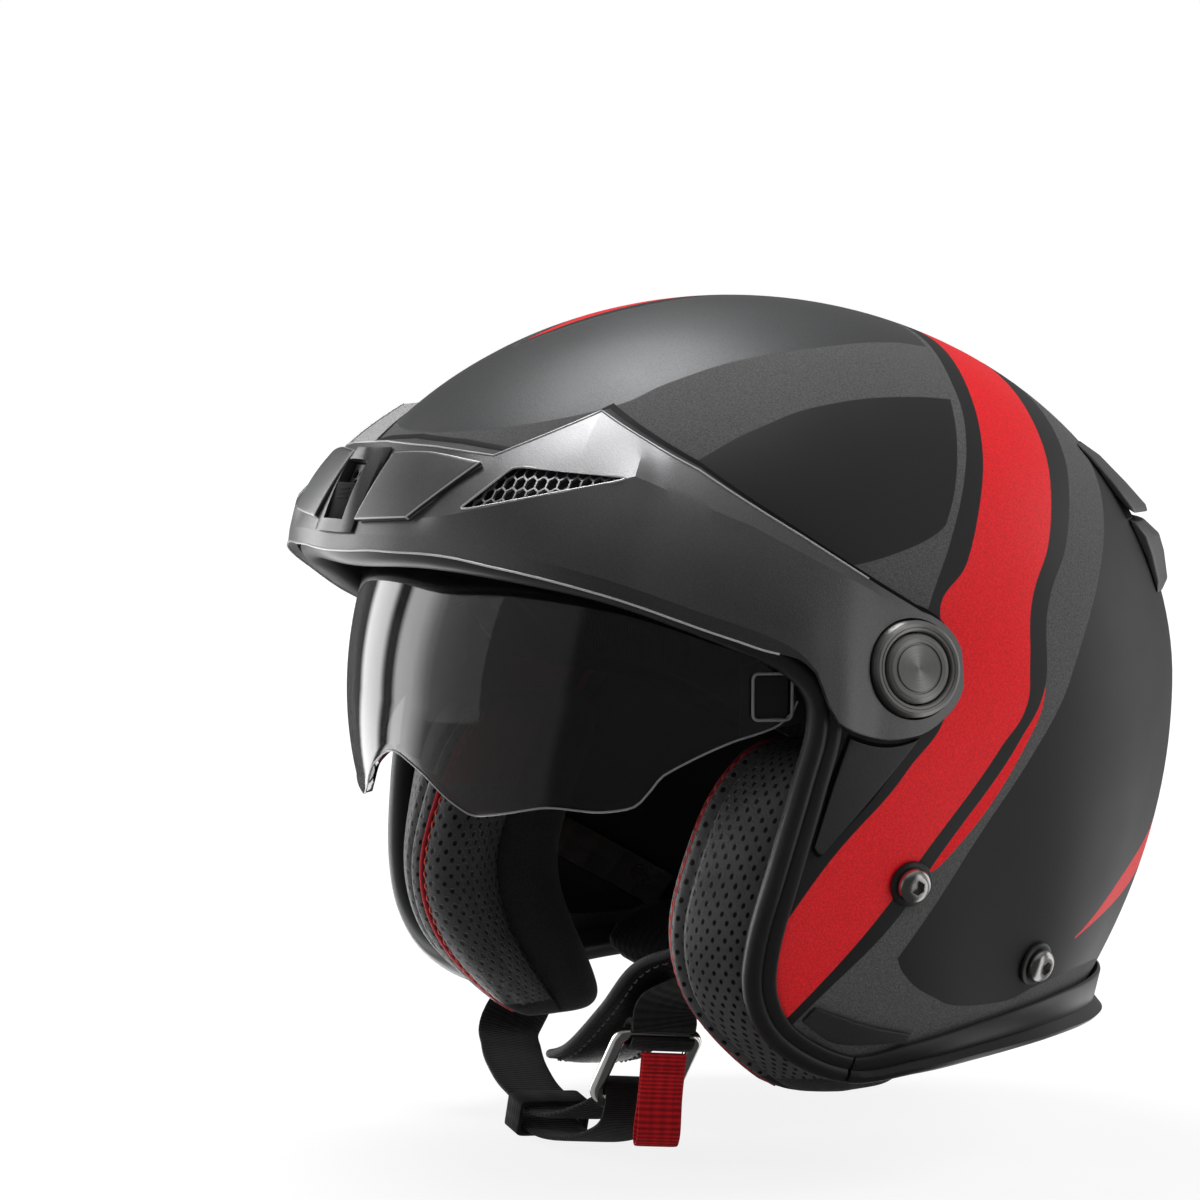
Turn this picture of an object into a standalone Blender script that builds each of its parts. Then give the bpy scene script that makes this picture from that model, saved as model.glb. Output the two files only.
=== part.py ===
"""Open-face motorcycle helmet with a forehead brow, a drop-down sun visor and a ring-fastened chin strap.

Frame: +Z up, the face opening looks along -Y and +X is the wearer's left. The origin is the middle of the
head, on the mirror plane. An angle called turn is measured about +Z from dead ahead towards the left.
Outlines on the shell are lists of (turn in degrees, height in millimetres).
"""

import math

import bmesh
import bpy
from mathutils import Matrix, Vector

MM = 0.001
WELD = 1e-6
SEAT_GAP = 0.3 * MM
SHELL_GAP = 0.7 * MM
INNER_GAP = 1.3 * MM
RUN_GAP = 0.4 * MM
SIDES = {"left": 1, "right": -1}
X_AXIS = Vector((1, 0, 0))

# Outer shell: the half-sizes of the egg that its outside follows, and its edge from brow to neck.
SHELL_HALF_WIDTH = 120 * MM
SHELL_FRONT = 135 * MM
SHELL_REAR = 136 * MM
SHELL_CROWN = 113 * MM
CHEEK_TAPER = 190 * MM
NECK_TAPER = 135 * MM
SHELL_WALL = 4 * MM
SHELL_POLE = Vector((0, 0.5, 0.87)).normalized()
SHELL_EDGE = [
    (0, 43), (15, 43.5), (29, 40.5), (41.5, 35.5), (53.5, 27), (63.5, 18), (68.3, 8.5), (69, -3), (67, -19),
    (64.2, -40), (61.5, -61), (61.3, -76), (65, -88.5), (75, -98), (86, -96.4), (97, -93.6),
    (108, -91.6), (120, -90.4), (135, -90), (150, -90), (165, -90.4), (180, -91),
]
EDGE_CORNER = 13

# Rubber trims that grip the shell's edge
TRIM_LEG = 4.5 * MM
TRIM_LIP = 1.2 * MM
TRIM_BEAD = 4.6 * MM
TRIM_JOINT = 0.02
BASE_LEG = 9 * MM
BASE_GAP = 1 * MM
BASE_FLARE = 6.5 * MM

# Forehead brow: its rear crest, its crease and its lower edge, and how far each stands off the shell
BROW_WALL = 2.6 * MM
BROW_LIP_DEPTH = 4.4 * MM
BROW_FOOT = 0.6 * MM
BROW_TURNS = [0, 6, 12, 15.5, 19, 22.5, 26, 31, 36, 40, 44.3, 50, 56, 61, 65, 67.5, 69, 70.2, 72, 75, 78]
BROW_END_SHARES = [0.03, 0.43, 0.74, 0.95]
BROW_CREST = [
    (0, 72), (12.3, 71), (22.5, 69), (35.9, 81), (52.7, 65.5), (66.5, 48.4), (77, 34.5), (83, 27), (86.5, 20.5),
    (88, 15.5),
]
BROW_CREASE = [
    (0, 50.5), (15.5, 52), (21.2, 53.5), (32, 58.5), (44.3, 64), (60, 51), (75.3, 34), (81, 24), (86, 15), (88, 12.5),
]
BROW_LOW = [
    (0, 45.5), (14.2, 48), (28.9, 43.8), (41.5, 37.7), (53.5, 28.9), (64.4, 19.5), (67.5, 13), (69, 4), (70.2, -0.5),
    (73.2, -3.8), (77.4, -5.8), (81, -5), (84.5, -1.5), (87, 5), (88, 9.5),
]
CREST_RISE = [(0, 7), (12, 6.8), (22.5, 5.8), (36, 4), (50, 3.4), (88, 3.3)]
CREASE_RISE = [(0, 7.4), (15.5, 7.4), (30, 7), (44, 5.6), (60, 5.4), (72, 5), (78, 3.6), (88, 3.3)]
LOW_RISE = [(0, 7), (29, 7), (54, 6.6), (66, 6.2), (71, 5.8), (76, 3.6), (88, 3.3)]
LIP_SHARE = [(0, 1), (60, 1), (69, 0.1), (88, 0.05)]

# Honeycomb vents in the brow's wings
VENT_CORNERS = [(26.8, 66.4), (21.6, 54.4), (44.2, 63.6)]
VENT_ROUNDING = 0.12
VENT_SLOPE = 0.79
CELL_ACROSS = 2.5 * MM
CELL_WEB = 0.7 * MM
MESH_PLATE = 0.8 * MM
MESH_MARGIN = 1.5 * MM

# Raised panels on the brow's front
BROW_PANEL_WALL = 1.8 * MM
BROW_PANEL_TOP = [(5.6, 69.5), (13, 69.9), (21.9, 67.6)]
BROW_PANEL_FOOT = [(5.2, 51.2), (9.5, 51.8), (14.4, 52.4)]

# Front vent housing, its window and the shutter that slides in it
NOSE_HALF_TURN = 4.6
NOSE_FOOT = 47.5 * MM
NOSE_HEAD = 70.5 * MM
NOSE_RISE = 12 * MM
NOSE_FOOT_RISE = 8.6 * MM
NOSE_WALL = 3.4 * MM
WINDOW_WIDTH = 11 * MM
WINDOW_HEIGHT = 18 * MM
SHUTTER_DEPTH = 1.8 * MM
SHUTTER_TAB = 1.2 * MM
SHUTTER_TRAVEL = 6.5 * MM
SHUTTER_SPARE = 0.2 * MM

# Visor axis, the turned pivot discs outside the shell and the pins inside it
PIVOT_Y = -19.4 * MM
PIVOT_Z = 12.3 * MM
DISC_RADIUS = 13 * MM
DISC_GAP = 0.7 * MM
DISC_HEIGHT = 6.5 * MM
DISC_RIM = 3 * MM
CAP_GAP = 0.6 * MM
EYE_RIM = 2 * MM
PIN_RADIUS = 4 * MM
PIN_FLANGE_RADIUS = 7 * MM
PIN_FLANGE = 2.2 * MM
BUSH_RADIUS = 6.5 * MM

# Sun visor: a lens that lies parallel to the shell when it is parked, and the arms that carry it
VISOR_PARK = math.radians(45)
VISOR_CLEARANCE = 4.5 * MM
VISOR_WALL = 2.2 * MM
VISOR_END = 75.5
VISOR_LOW = [
    (0, -16.1), (7.6, -18.8), (14.6, -24.2), (19, -26.6), (31.3, -27), (43, -31.5), (46.5, -32.3), (49.5, -30.6),
    (53.1, -27.7), (64.2, -25.9), (71, -27.2), (74.2, -24), (75.5, -19),
]
VISOR_TOP = [(0, 17), (45, 18), (58, 16), (66, 9), (72, 3), (75.5, -3)]
ARM_WALL = 2 * MM
ARM_EYE = 9 * MM
ARM_HALF_WIDTH = 9.5 * MM
CLIP_FROM_END = 5.4 * MM
CLIP_Z = 5 * MM
CLIP_WIDTH = 8 * MM
CLIP_HEIGHT = 11 * MM
POCKET_CLEARANCE = 1.2 * MM
POCKET_TOP = math.radians(70)
POCKET_LOW = math.radians(-25)
POCKET_SIDE = math.radians(84)
POCKET_ROUND_AXIS = 16 * MM

# Panels on the shell's cheeks
PANEL_WALL = 1.4 * MM
SIDE_PANEL_FRONT = [(72.2, -5.5), (70, -19), (67.8, -34.5)]
SIDE_PANEL_REAR = [(81.6, -6.5), (75.5, -21), (69, -36.2)]
SIDE_PANEL_SAG = 2.2 * MM
CORNER_PANEL_TOP = [(69, -79.5), (77, -85.5), (84.5, -89.2)]
CORNER_PANEL_FOOT = [(67.2, -83.4), (73, -90.4), (84.2, -91.2)]

# Rear air outlet: two tiers across the back
OUTLET_FIRST = 140
OUTLET_LAST = 220
OUTLET_STEPS = 16
OUTLET_TAPER = 6
UPPER_TIER = [(70, 0.3), (66, 2), (58, 3.6), (51.5, 5.2), (49.6, 4.8), (51, 2.4), (55, 0.3), (62.5, 0.3)]
LOWER_TIER = [(48, 0.3), (47.2, 2.8), (43, 5), (38, 4.4), (30, 2.8), (26.5, 0.3), (37, 0.3)]

# Foam liner and comfort pads
FOAM_WALL = 30 * MM
FOAM_EDGE = [
    (0, 52), (30, 50), (50, 42), (62, 33), (72, 20), (80, 4), (92, -3), (110, -12), (135, -40), (160, -64), (180, -70),
]
CROWN_PAD_WALL = 7 * MM
CROWN_PAD_GAP = 3 * MM
CROWN_PAD_EDGE = [
    (0, 54), (30, 52), (50, 44), (62, 36), (72, 24), (80, 10), (92, 2), (110, -8), (135, -36), (160, -58), (180, -63),
]
NECK_PAD_RADIUS = 11.5 * MM
NECK_PAD_HEIGHT = -89.5 * MM
NECK_PAD_FIRST = 97.5
NECK_PAD_LAST = 262.5
NECK_PAD_STEPS = 18
CHEEK_LEVELS = [-8, -12, -24, -40, -56, -70, -84, -97, -105, -109]
CHEEK_SHARE = [0.55, 0.86, 1, 1, 1, 1, 1, 0.88, 0.72, 0.46]
CHEEK_SEAM = [(-8, -43), (-24, -53), (-40, -60), (-56, -66), (-70, -65), (-85, -58), (-97, -49.5), (-110, -41)]
CHEEK_EDGE = [(-110, 79), (-104, 77), (-98, 75), (-88.5, 65.5), (-76, 62), (-61, 62), (-40, 64.7), (-19, 67.5), (-3, 69.5)]
CHEEK_SEAM_X = 68 * MM
CHEEK_BACK_CLEARANCE = 6.2 * MM
CHEEK_ROLL = 7 * MM
CHEEK_LOBE = 2.5 * MM

# Strap screws and the bars they hold inside the shell
SCREW_PLACES = {"front": (81.7, -46), "rear": (106.8, -73)}
SCREW_HEAD_RADIUS = 4.9 * MM
SCREW_HEAD_HEIGHT = 2.8 * MM
SCREW_SOCKET = 2.1 * MM
SCREW_SOCKET_DEPTH = 1.8 * MM
SCREW_RADIUS = 2.5 * MM
WASHER_RADIUS = 6.4 * MM
WASHER_HEIGHT = 1.3 * MM
BAR_WALL = 2 * MM
BAR_WIDTH = 13 * MM
BAR_MARGIN = 4.2

# Chin strap: routes are lists of points in millimetres, chosen by hand
STRAP_WIDTH = 19 * MM
STRAP_WALL = 1.6 * MM
RING_BAR = Vector((36, -47, -96)) * MM
RING_REACH = 31 * MM
RING_HALF_WIDTH = 11.6 * MM
RING_CORNER = 8 * MM
RING_WIRE = 2 * MM
RING_FALL = Vector((-0.66, 0.06, -0.75)).normalized()
RING_ACROSS_HINT = Vector((-0.2, -0.97, 0.1))
STRAP_TURN = 82
LEFT_PLACES = [(82, -40, 0), (82, -48, 0), (80.1, -56, 0.9), (78.1, -62, 5), (73.8, -66.5, 12.3)]
LEFT_ROUTE = [(77, -32, -70), (66, -38.5, -74)]
RIGHT_HEIGHTS = [-42, -58, -74, -90, -100]
RIGHT_ROUTE = [(-87, -25, -113), (-76, -31, -118), (-60, -38, -121), (-40, -44, -124.5), (-16, -46, -128)]
TAIL_ROUTE = [(-2, -46, -132.5), (-20, -46, -134), (-38, -45, -129.5)]
COVER_ROUTE = [(56.4, -45, -72), (45.6, -48.9, -77.2), (29.6, -48.7, -90.2), (7.5, -47.5, -104.6), (-16, -43.5, -110.5)]
COVER_WIDTH = 27 * MM
COVER_WALL = 5 * MM
KEEPER_WIDTH = 9 * MM
KEEPER_WALL = 1.2 * MM
KEEPER_GAP = 0.9 * MM
KEEPER_POSITION = 3.5
TAB_WIDTH = 13 * MM
TAB_LENGTH = 27 * MM
TAB_FOLD = 1.4 * MM


def level_share(x, y, offset):
    depth = (SHELL_FRONT if y < 0 else SHELL_REAR) + offset
    return (x / (SHELL_HALF_WIDTH + offset)) ** 2 + (y / depth) ** 2


def height_share(x, y, z, offset):
    if z >= 0:
        return (z / (SHELL_CROWN + offset)) ** 2
    side = (z / (CHEEK_TAPER + offset)) ** 2
    neck = (z / (NECK_TAPER + offset)) ** 2
    rearward = max(y, 0) ** 2 / max(x * x + y * y, WELD**2)
    return side + rearward * (neck - side)


def skin(turn, height, offset=0.0):
    """The point of the shell, grown by offset, at a turn in degrees and a height."""
    x = math.sin(math.radians(turn))
    y = -math.cos(math.radians(turn))
    reach = math.sqrt((1 - height_share(x, y, height, offset)) / level_share(x, y, offset))
    return Vector((x * reach, y * reach, height))


def toward(direction, offset=0.0):
    """Where a line from the origin meets the shell grown by offset."""
    share = level_share(direction.x, direction.y, offset) + height_share(*direction, offset)
    return direction / math.sqrt(share)


def beside(y, z, offset, side):
    """The point of the shell, grown by offset, at one side of a place in the side view."""
    flat = level_share(0, y, offset) + height_share(1, 0, z, offset)
    return Vector((side * (SHELL_HALF_WIDTH + offset) * math.sqrt(1 - flat), y, z))


def outward(point):
    """The shell's outward direction at a point on it."""
    step = 0.01 * MM
    slope = Vector()
    for axis in range(3):
        ends = []
        for sign in (1, -1):
            probe = point.copy()
            probe[axis] += sign * step
            ends.append(level_share(probe.x, probe.y, 0) + height_share(*probe, 0))
        slope[axis] = ends[0] - ends[1]
    return slope.normalized()


def spline(points, position, closed=False):
    """A smooth curve through points. Position counts them, so 1.5 lies between the second and the third."""
    count = len(points)
    first = math.floor(position)
    if not closed:
        first = min(max(first, 0), count - 2)

    def point(index):
        if closed:
            return points[index % count]
        if index < 0:
            return 2 * points[0] - points[1]
        if index >= count:
            return 2 * points[-1] - points[-2]
        return points[index]

    a, b, c, d = (point(first + step) for step in (-1, 0, 1, 2))
    share = position - first
    bend = (2 * a - 5 * b + 4 * c - d) * share**2 + (3 * b - a - 3 * c + d) * share**3
    return b + 0.5 * ((c - a) * share + bend)


def follow(points, x, sharp=False):
    """A curve y(x) through points in order of x: straight between them if sharp, and otherwise smooth."""
    if x <= points[0][0]:
        return points[0][1]
    if x >= points[-1][0]:
        return points[-1][1]
    index = max(i for i, point in enumerate(points) if point[0] <= x)
    (x0, y0), (x1, y1) = points[index], points[index + 1]
    share = (x - x0) / (x1 - x0)
    if sharp:
        return y0 + (y1 - y0) * share

    def grade(i):
        if i in (0, len(points) - 1):
            return 0.0
        before = (points[i][1] - points[i - 1][1]) / (points[i][0] - points[i - 1][0])
        after = (points[i + 1][1] - points[i][1]) / (points[i + 1][0] - points[i][0])
        return 2 * before * after / (before + after) if before * after > 0 else 0.0

    span = x1 - x0
    near = y0 * (1 + 2 * share) * (1 - share) ** 2 + grade(index) * span * share * (1 - share) ** 2
    far = y1 * share**2 * (3 - 2 * share) - grade(index + 1) * span * share**2 * (1 - share)
    return near + far


def sheet(rows, columns, place):
    """A grid bent by place(row share, column share), welded where its borders meet."""
    grid = bmesh.new()
    bmesh.ops.create_grid(grid, x_segments=rows, y_segments=columns, size=0.5)
    for vert in grid.verts:
        vert.co = place(vert.co.x + 0.5, vert.co.y + 0.5)
    bmesh.ops.remove_doubles(grid, verts=grid.verts, dist=WELD)
    return grid


def face_outward(grid):
    """Turns an open sheet's faces away from the origin."""
    bmesh.ops.recalc_face_normals(grid, faces=grid.faces)
    leaning = sum(face.normal.dot(face.calc_center_median()) for face in grid.faces)
    if leaning < 0:
        bmesh.ops.reverse_faces(grid, faces=grid.faces)
    return grid


def loft(sections, closed_path=False):
    """A closed body through sections, each a ring of as many points."""
    rings = len(sections)
    count = len(sections[0])
    spans = rings if closed_path else rings - 1
    body = sheet(
        spans, count, lambda u, v: sections[round(u * spans) % rings][round(v * count) % count]
    )
    ends = [edge for edge in body.edges if edge.is_boundary]
    bmesh.ops.holes_fill(body, edges=ends, sides=0)
    bmesh.ops.recalc_face_normals(body, faces=body.faces)
    return body


def new_collection(name):
    collection = bpy.data.collections.new(name)
    bpy.context.scene.collection.children.link(collection)
    return collection


def new_material(name, colour, roughness, metallic=0.0, alpha=1.0):
    material = bpy.data.materials.new(name)
    material.use_nodes = True
    shader = material.node_tree.nodes["Principled BSDF"]
    shader.inputs["Base Color"].default_value = (*colour, 1)
    shader.inputs["Roughness"].default_value = roughness
    shader.inputs["Metallic"].default_value = metallic
    shader.inputs["Alpha"].default_value = alpha
    return material


def add_part(name, body, material):
    """Makes an object of a bmesh or a mesh and puts it among the parts."""
    mesh = body
    if isinstance(body, bmesh.types.BMesh):
        mesh = bpy.data.meshes.new(name)
        body.to_mesh(mesh)
        body.free()
    mesh.materials.append(MATERIALS[material])
    mesh.shade_smooth()
    mesh.set_sharp_from_angle(angle=math.radians(35))
    part = bpy.data.objects.new(name, mesh)
    PARTS.objects.link(part)
    return part


def add_cutter(name, body):
    mesh = bpy.data.meshes.new(name)
    body.to_mesh(mesh)
    body.free()
    cutter = bpy.data.objects.new(name, mesh)
    cutter.hide_render = True
    cutter.display_type = "WIRE"
    CUTTERS.objects.link(cutter)
    return cutter


def combine(part, other, operation="DIFFERENCE"):
    modifier = part.modifiers.new(other.name, "BOOLEAN")
    modifier.operation = operation
    modifier.object = other


def thicken(part, wall):
    modifier = part.modifiers.new("wall", "SOLIDIFY")
    modifier.thickness = wall
    modifier.offset = -1
    modifier.use_even_offset = True


def soften(part):
    modifier = part.modifiers.new("soft", "SUBSURF")
    modifier.levels = 1
    modifier.render_levels = 1


def rest_origin_on(part, origin):
    """Moves a part's origin to a point of its joint's axis."""
    part.data.transform(Matrix.Translation(-origin))
    part.location = origin


def turned(name, profile, origin, axis, material, steps=32, ring=False):
    """A body turned round an axis from (radius, height) points that run down its outer side."""
    mesh = bpy.data.meshes.new(name)
    edges = [(i, i + 1) for i in range(len(profile) - 1)]
    if ring:
        edges.append((len(profile) - 1, 0))
    mesh.from_pydata([(radius, 0, height) for radius, height in profile], edges, [])
    part = add_part(name, mesh, material)
    part.matrix_world = Matrix.Translation(origin) @ axis.to_track_quat("Z", "Y").to_matrix().to_4x4()
    screw = part.modifiers.new("turn", "SCREW")
    screw.steps = steps
    screw.render_steps = steps
    screw.use_merge_vertices = True
    screw.merge_threshold = 1e-5
    screw.use_normal_calculate = False
    return part


def peg(body, origin, axis, radius, low, high, sides=24):
    """Adds a cylinder along an axis, between two distances from its origin, to a bmesh."""
    turn = axis.to_track_quat("Z", "Y").to_matrix().to_4x4()
    place = Matrix.Translation(origin + axis * (low + high) / 2) @ turn
    bmesh.ops.create_cone(
        body, cap_ends=True, segments=sides, radius1=radius, radius2=radius, depth=high - low, matrix=place
    )


def edge_loop(outline):
    """The closed loop on the shell of an outline that runs from the front to the rear of one side."""
    left = [skin(turn, height * MM) for turn, height in outline]
    right = [Vector((-point.x, point.y, point.z)) for point in left[-2:0:-1]]
    return left + right


def dome(outline, offset, positions, rings):
    """An open dome from the crown to an outline on the shell, cut up at positions round that outline."""
    loop = edge_loop(outline)
    count = len(positions)

    def place(round_share, down_share):
        position = positions[round(round_share * count) % count]
        end = spline(loop, position, closed=True).normalized()
        return toward(SHELL_POLE.slerp(end, down_share), offset)

    return face_outward(sheet(count, rings, place))


def face_positions():
    """Places round the face opening, two for each point of the shell's edge."""
    return [k / 2 for k in range(1 - 2 * EDGE_CORNER, 2 * EDGE_CORNER)]


def neck_positions():
    """Places round the neck, one for each point of the shell's edge."""
    total = 2 * len(SHELL_EDGE) - 2
    return list(range(EDGE_CORNER + 1, total - EDGE_CORNER))


def whole_positions(outline):
    return list(range(2 * len(outline) - 2))


def make_shell():
    shell_positions = [-EDGE_CORNER, *face_positions(), EDGE_CORNER, *neck_positions()]
    shell = add_part("outer_shell", dome(SHELL_EDGE, 0.0, shell_positions, 11), "shell")
    thicken(shell, SHELL_WALL)
    holes = bmesh.new()
    for side in SIDES.values():
        peg(holes, pivot_on(side), X_AXIS * side, PIN_RADIUS + SEAT_GAP, -5 * SHELL_WALL, 5 * SHELL_WALL)
        for place in SCREW_PLACES:
            origin, axis = screw_seat(place, side)
            peg(holes, origin, axis, SCREW_RADIUS + SEAT_GAP, -3 * SHELL_WALL, 3 * SHELL_WALL, 12)
    combine(shell, add_cutter("shell_holes", holes))
    return shell


def edge_section(loop, position, profile):
    """A trim's profile, in distances past the shell's edge and out of the shell, set at a place on that edge."""
    step = 0.01
    here = toward(spline(loop, position, closed=True))
    ahead = spline(loop, position + step, closed=True) - spline(loop, position - step, closed=True)
    out = outward(here)
    past = ahead.cross(out).normalized()
    return [here + past * reach + out * rise for reach, rise in profile]


def trim_profile(leg, bead, flare, gap):
    outer = gap + TRIM_LIP
    inner = -SHELL_WALL - gap
    return [
        (-leg, gap), (-leg, outer), (gap, outer + flare * 0.55), (bead * 0.55, outer + 0.5 * MM + flare),
        (bead, -SHELL_WALL * 0.4 + flare * 0.7), (bead * 0.6, inner - TRIM_LIP), (-TRIM_LEG, inner - TRIM_LIP),
        (-TRIM_LEG, inner), (gap, inner), (gap, gap),
    ]


def make_trims():
    loop = edge_loop(SHELL_EDGE)
    face_end = EDGE_CORNER - TRIM_JOINT
    profile = trim_profile(TRIM_LEG, TRIM_BEAD, 0.0, SHELL_GAP)
    face = [edge_section(loop, position, profile) for position in [-face_end, *face_positions(), face_end]]
    add_part("face_trim", loft(face), "rubber")
    first = EDGE_CORNER + TRIM_JOINT
    last = len(loop) - first
    base = []
    for position in [first, *neck_positions(), last]:
        rearward = math.sin(math.pi * (position - first) / (last - first)) ** 0.8
        leg = TRIM_LEG + (BASE_LEG - TRIM_LEG) * rearward
        profile = trim_profile(leg, TRIM_BEAD, BASE_FLARE * rearward, BASE_GAP)
        base.append(edge_section(loop, position, profile))
    add_part("base_trim", loft(base), "rubber")


def eye_reach():
    """How far the brow's rim round a pivot disc reaches from the disc's middle."""
    return DISC_RADIUS + DISC_GAP + EYE_RIM


def eye_turn(share):
    """The turn at a share of the way from a disc's middle to the brow's rear end."""
    middle = pivot_on(1)
    reach = share * eye_reach() / math.hypot(middle.x, middle.y)
    return math.degrees(math.atan2(middle.x, -middle.y) + reach)


def eye_half_height(turn):
    share = (turn - eye_turn(0)) / (eye_turn(1) - eye_turn(0))
    return eye_reach() * math.sqrt(max(1 - share**2, 0))


def brow_rows(turn):
    """Heights and stand-offs of the brow's outside at a turn, from its crest down to its lower edge."""
    side = abs(turn)
    eye = eye_half_height(side)
    top = follow(BROW_CREST, side, sharp=True) * MM
    foot = follow(BROW_LOW, side) * MM
    if eye:
        top = max(top, PIVOT_Z + eye)
        foot = min(foot, PIVOT_Z - eye)
    crest = (top, follow(CREST_RISE, side) * MM)
    crease = (follow(BROW_CREASE, side, sharp=True) * MM, follow(CREASE_RISE, side) * MM)
    low = (foot, follow(LOW_RISE, side) * MM)
    upper = tuple((a + b) / 2 for a, b in zip(crest, crease))
    lower = tuple((a + b) / 2 for a, b in zip(crease, low))
    return [crest, upper, crease, lower, low]


def brow_rise(turn, height):
    """How far the brow's outside stands off the shell at a height."""
    rows = sorted(brow_rows(turn))
    return follow(rows, height, sharp=True)


def brow_section(turn):
    rows = brow_rows(turn)
    crest, low = rows[0], rows[-1]
    lip = BROW_LIP_DEPTH * follow(LIP_SHARE, abs(turn))
    outside = [(crest[0] + BROW_FOOT, SEAT_GAP), *rows, (low[0] - lip, low[1] - lip * 0.3)]
    inside = [(low[0] - lip, low[1] - lip * 0.3 - BROW_WALL)]
    inside += [(height, rise - BROW_WALL) for height, rise in reversed(rows[1:-1])]
    room = crest[0] - rows[1][0]
    inside += [(crest[0] - min(BROW_WALL, room * 0.6), max(crest[1] - BROW_WALL, 2 * SEAT_GAP))]
    inside += [(crest[0] - min(BROW_WALL - BROW_FOOT, room * 0.4), SEAT_GAP)]
    return [skin(turn, height, rise) for height, rise in outside + inside]


def rounded(corners, share, steps=3):
    """A closed outline with each corner rounded over a share of its two edges."""
    points = []
    count = len(corners)
    for i in range(count):
        corner = Vector(corners[i])
        start = corner.lerp(Vector(corners[i - 1]), share)
        end = corner.lerp(Vector(corners[(i + 1) % count]), share)
        for step in range(steps + 1):
            t = step / steps
            points.append(start * (1 - t) ** 2 + corner * 2 * t * (1 - t) + end * t**2)
    return points


def make_brow():
    left = BROW_TURNS + [eye_turn(share) for share in BROW_END_SHARES]
    turns = [-turn for turn in reversed(left[1:])] + left
    brow = add_part("brow", loft([brow_section(turn) for turn in turns]), "brow")
    outline = rounded(VENT_CORNERS, VENT_ROUNDING)
    for name, side in SIDES.items():
        walls = [
            [skin(side * turn, height * MM, offset) for turn, height in outline]
            for offset in (-3 * MM, 18 * MM)
        ]
        combine(brow, add_cutter(f"brow_vent_cut_{name}", loft(walls)))
        eye = bmesh.new()
        origin, axis = disc_seat(side)
        peg(eye, origin, axis, DISC_RADIUS + DISC_GAP, -8 * MM, 12 * MM, 40)
        combine(brow, add_cutter(f"brow_eye_{name}", eye))
    window = bmesh.new()
    frame = nose_frame()
    cut = Matrix.Diagonal((WINDOW_WIDTH, WINDOW_HEIGHT, 3 * NOSE_RISE, 1))
    bmesh.ops.create_cube(window, size=1.0, matrix=frame @ cut)
    combine(brow, add_cutter("brow_window", window))


def honeycomb(outline, hole_margin):
    """A flat plate with hexagonal holes, as a mesh: outline is a convex ring of points round the origin."""
    curve = bpy.data.curves.new("honeycomb", "CURVE")
    curve.dimensions = "2D"
    curve.fill_mode = "BOTH"
    curve.extrude = MESH_PLATE / 2

    def ring(points):
        line = curve.splines.new("POLY")
        line.points.add(len(points) - 1)
        for knot, point in zip(line.points, points):
            knot.co = (point[0], point[1], 0, 1)
        line.use_cyclic_u = True

    def inside(centre):
        for i, corner in enumerate(outline):
            edge = corner - outline[i - 1]
            if edge.length < WELD:
                continue
            gap = edge.cross(centre - outline[i - 1]) / edge.length
            if gap < hole_margin:
                return False
        return True

    ring(outline)
    radius = CELL_ACROSS / math.sqrt(3)
    pitch = CELL_ACROSS + CELL_WEB
    reach = max(point.length for point in outline)
    count = math.ceil(reach / pitch) + 1
    for row in range(-count, count + 1):
        for column in range(-count, count + 1):
            centre = Vector(((column + 0.5 * (row % 2)) * pitch, row * pitch * math.sqrt(3) / 2))
            if inside(centre):
                angles = [math.radians(60 * k + 30) for k in range(6)]
                ring([(centre.x + radius * math.cos(a), centre.y + radius * math.sin(a)) for a in angles])
    flat = bpy.data.objects.new("honeycomb", curve)
    bpy.context.scene.collection.objects.link(flat)
    graph = bpy.context.evaluated_depsgraph_get()
    mesh = bpy.data.meshes.new_from_object(flat.evaluated_get(graph))
    bpy.data.objects.remove(flat)
    body = bmesh.new()
    body.from_mesh(mesh)
    bpy.data.meshes.remove(mesh)
    bmesh.ops.remove_doubles(body, verts=body.verts, dist=WELD)
    return body


def make_vent_meshes():
    """Honeycomb plates that lie on the shell behind the brow's two vents."""
    middle = sum((Vector(corner) for corner in VENT_CORNERS), Vector((0, 0))) / len(VENT_CORNERS)
    centre = skin(middle.x, middle.y * MM)
    degree = math.radians(1) * math.hypot(centre.x, centre.y)
    flat = []
    for turn, height in rounded(VENT_CORNERS, VENT_ROUNDING):
        point = Vector(((turn - middle.x) * degree, (height - middle.y) * MM / VENT_SLOPE))
        flat.append(point + point.normalized() * MESH_MARGIN)
    if sum(a.cross(b) for a, b in zip(flat, flat[1:])) < 0:
        flat.reverse()
    for name, side in SIDES.items():
        plate = honeycomb(flat, MESH_MARGIN + CELL_ACROSS / 2)
        for vert in plate.verts:
            turn = middle.x + vert.co.x / degree
            height = middle.y * MM + vert.co.y * VENT_SLOPE
            vert.co = skin(side * turn, height, INNER_GAP + MESH_PLATE / 2 + vert.co.z)
        if side < 0:
            bmesh.ops.reverse_faces(plate, faces=plate.faces)
        add_part(f"brow_vent_mesh_{name}", plate, "mesh")


def panel(name, place, rows, columns, material, wall):
    part = add_part(name, face_outward(sheet(rows, columns, place)), material)
    thicken(part, wall)
    return part


def between(first, second, u, v):
    """A place on the ruled patch between two smooth edges: u runs along them and v from one to the other."""
    a = spline([Vector(point) for point in first], u * (len(first) - 1))
    b = spline([Vector(point) for point in second], u * (len(second) - 1))
    return a.lerp(b, v)


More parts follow.
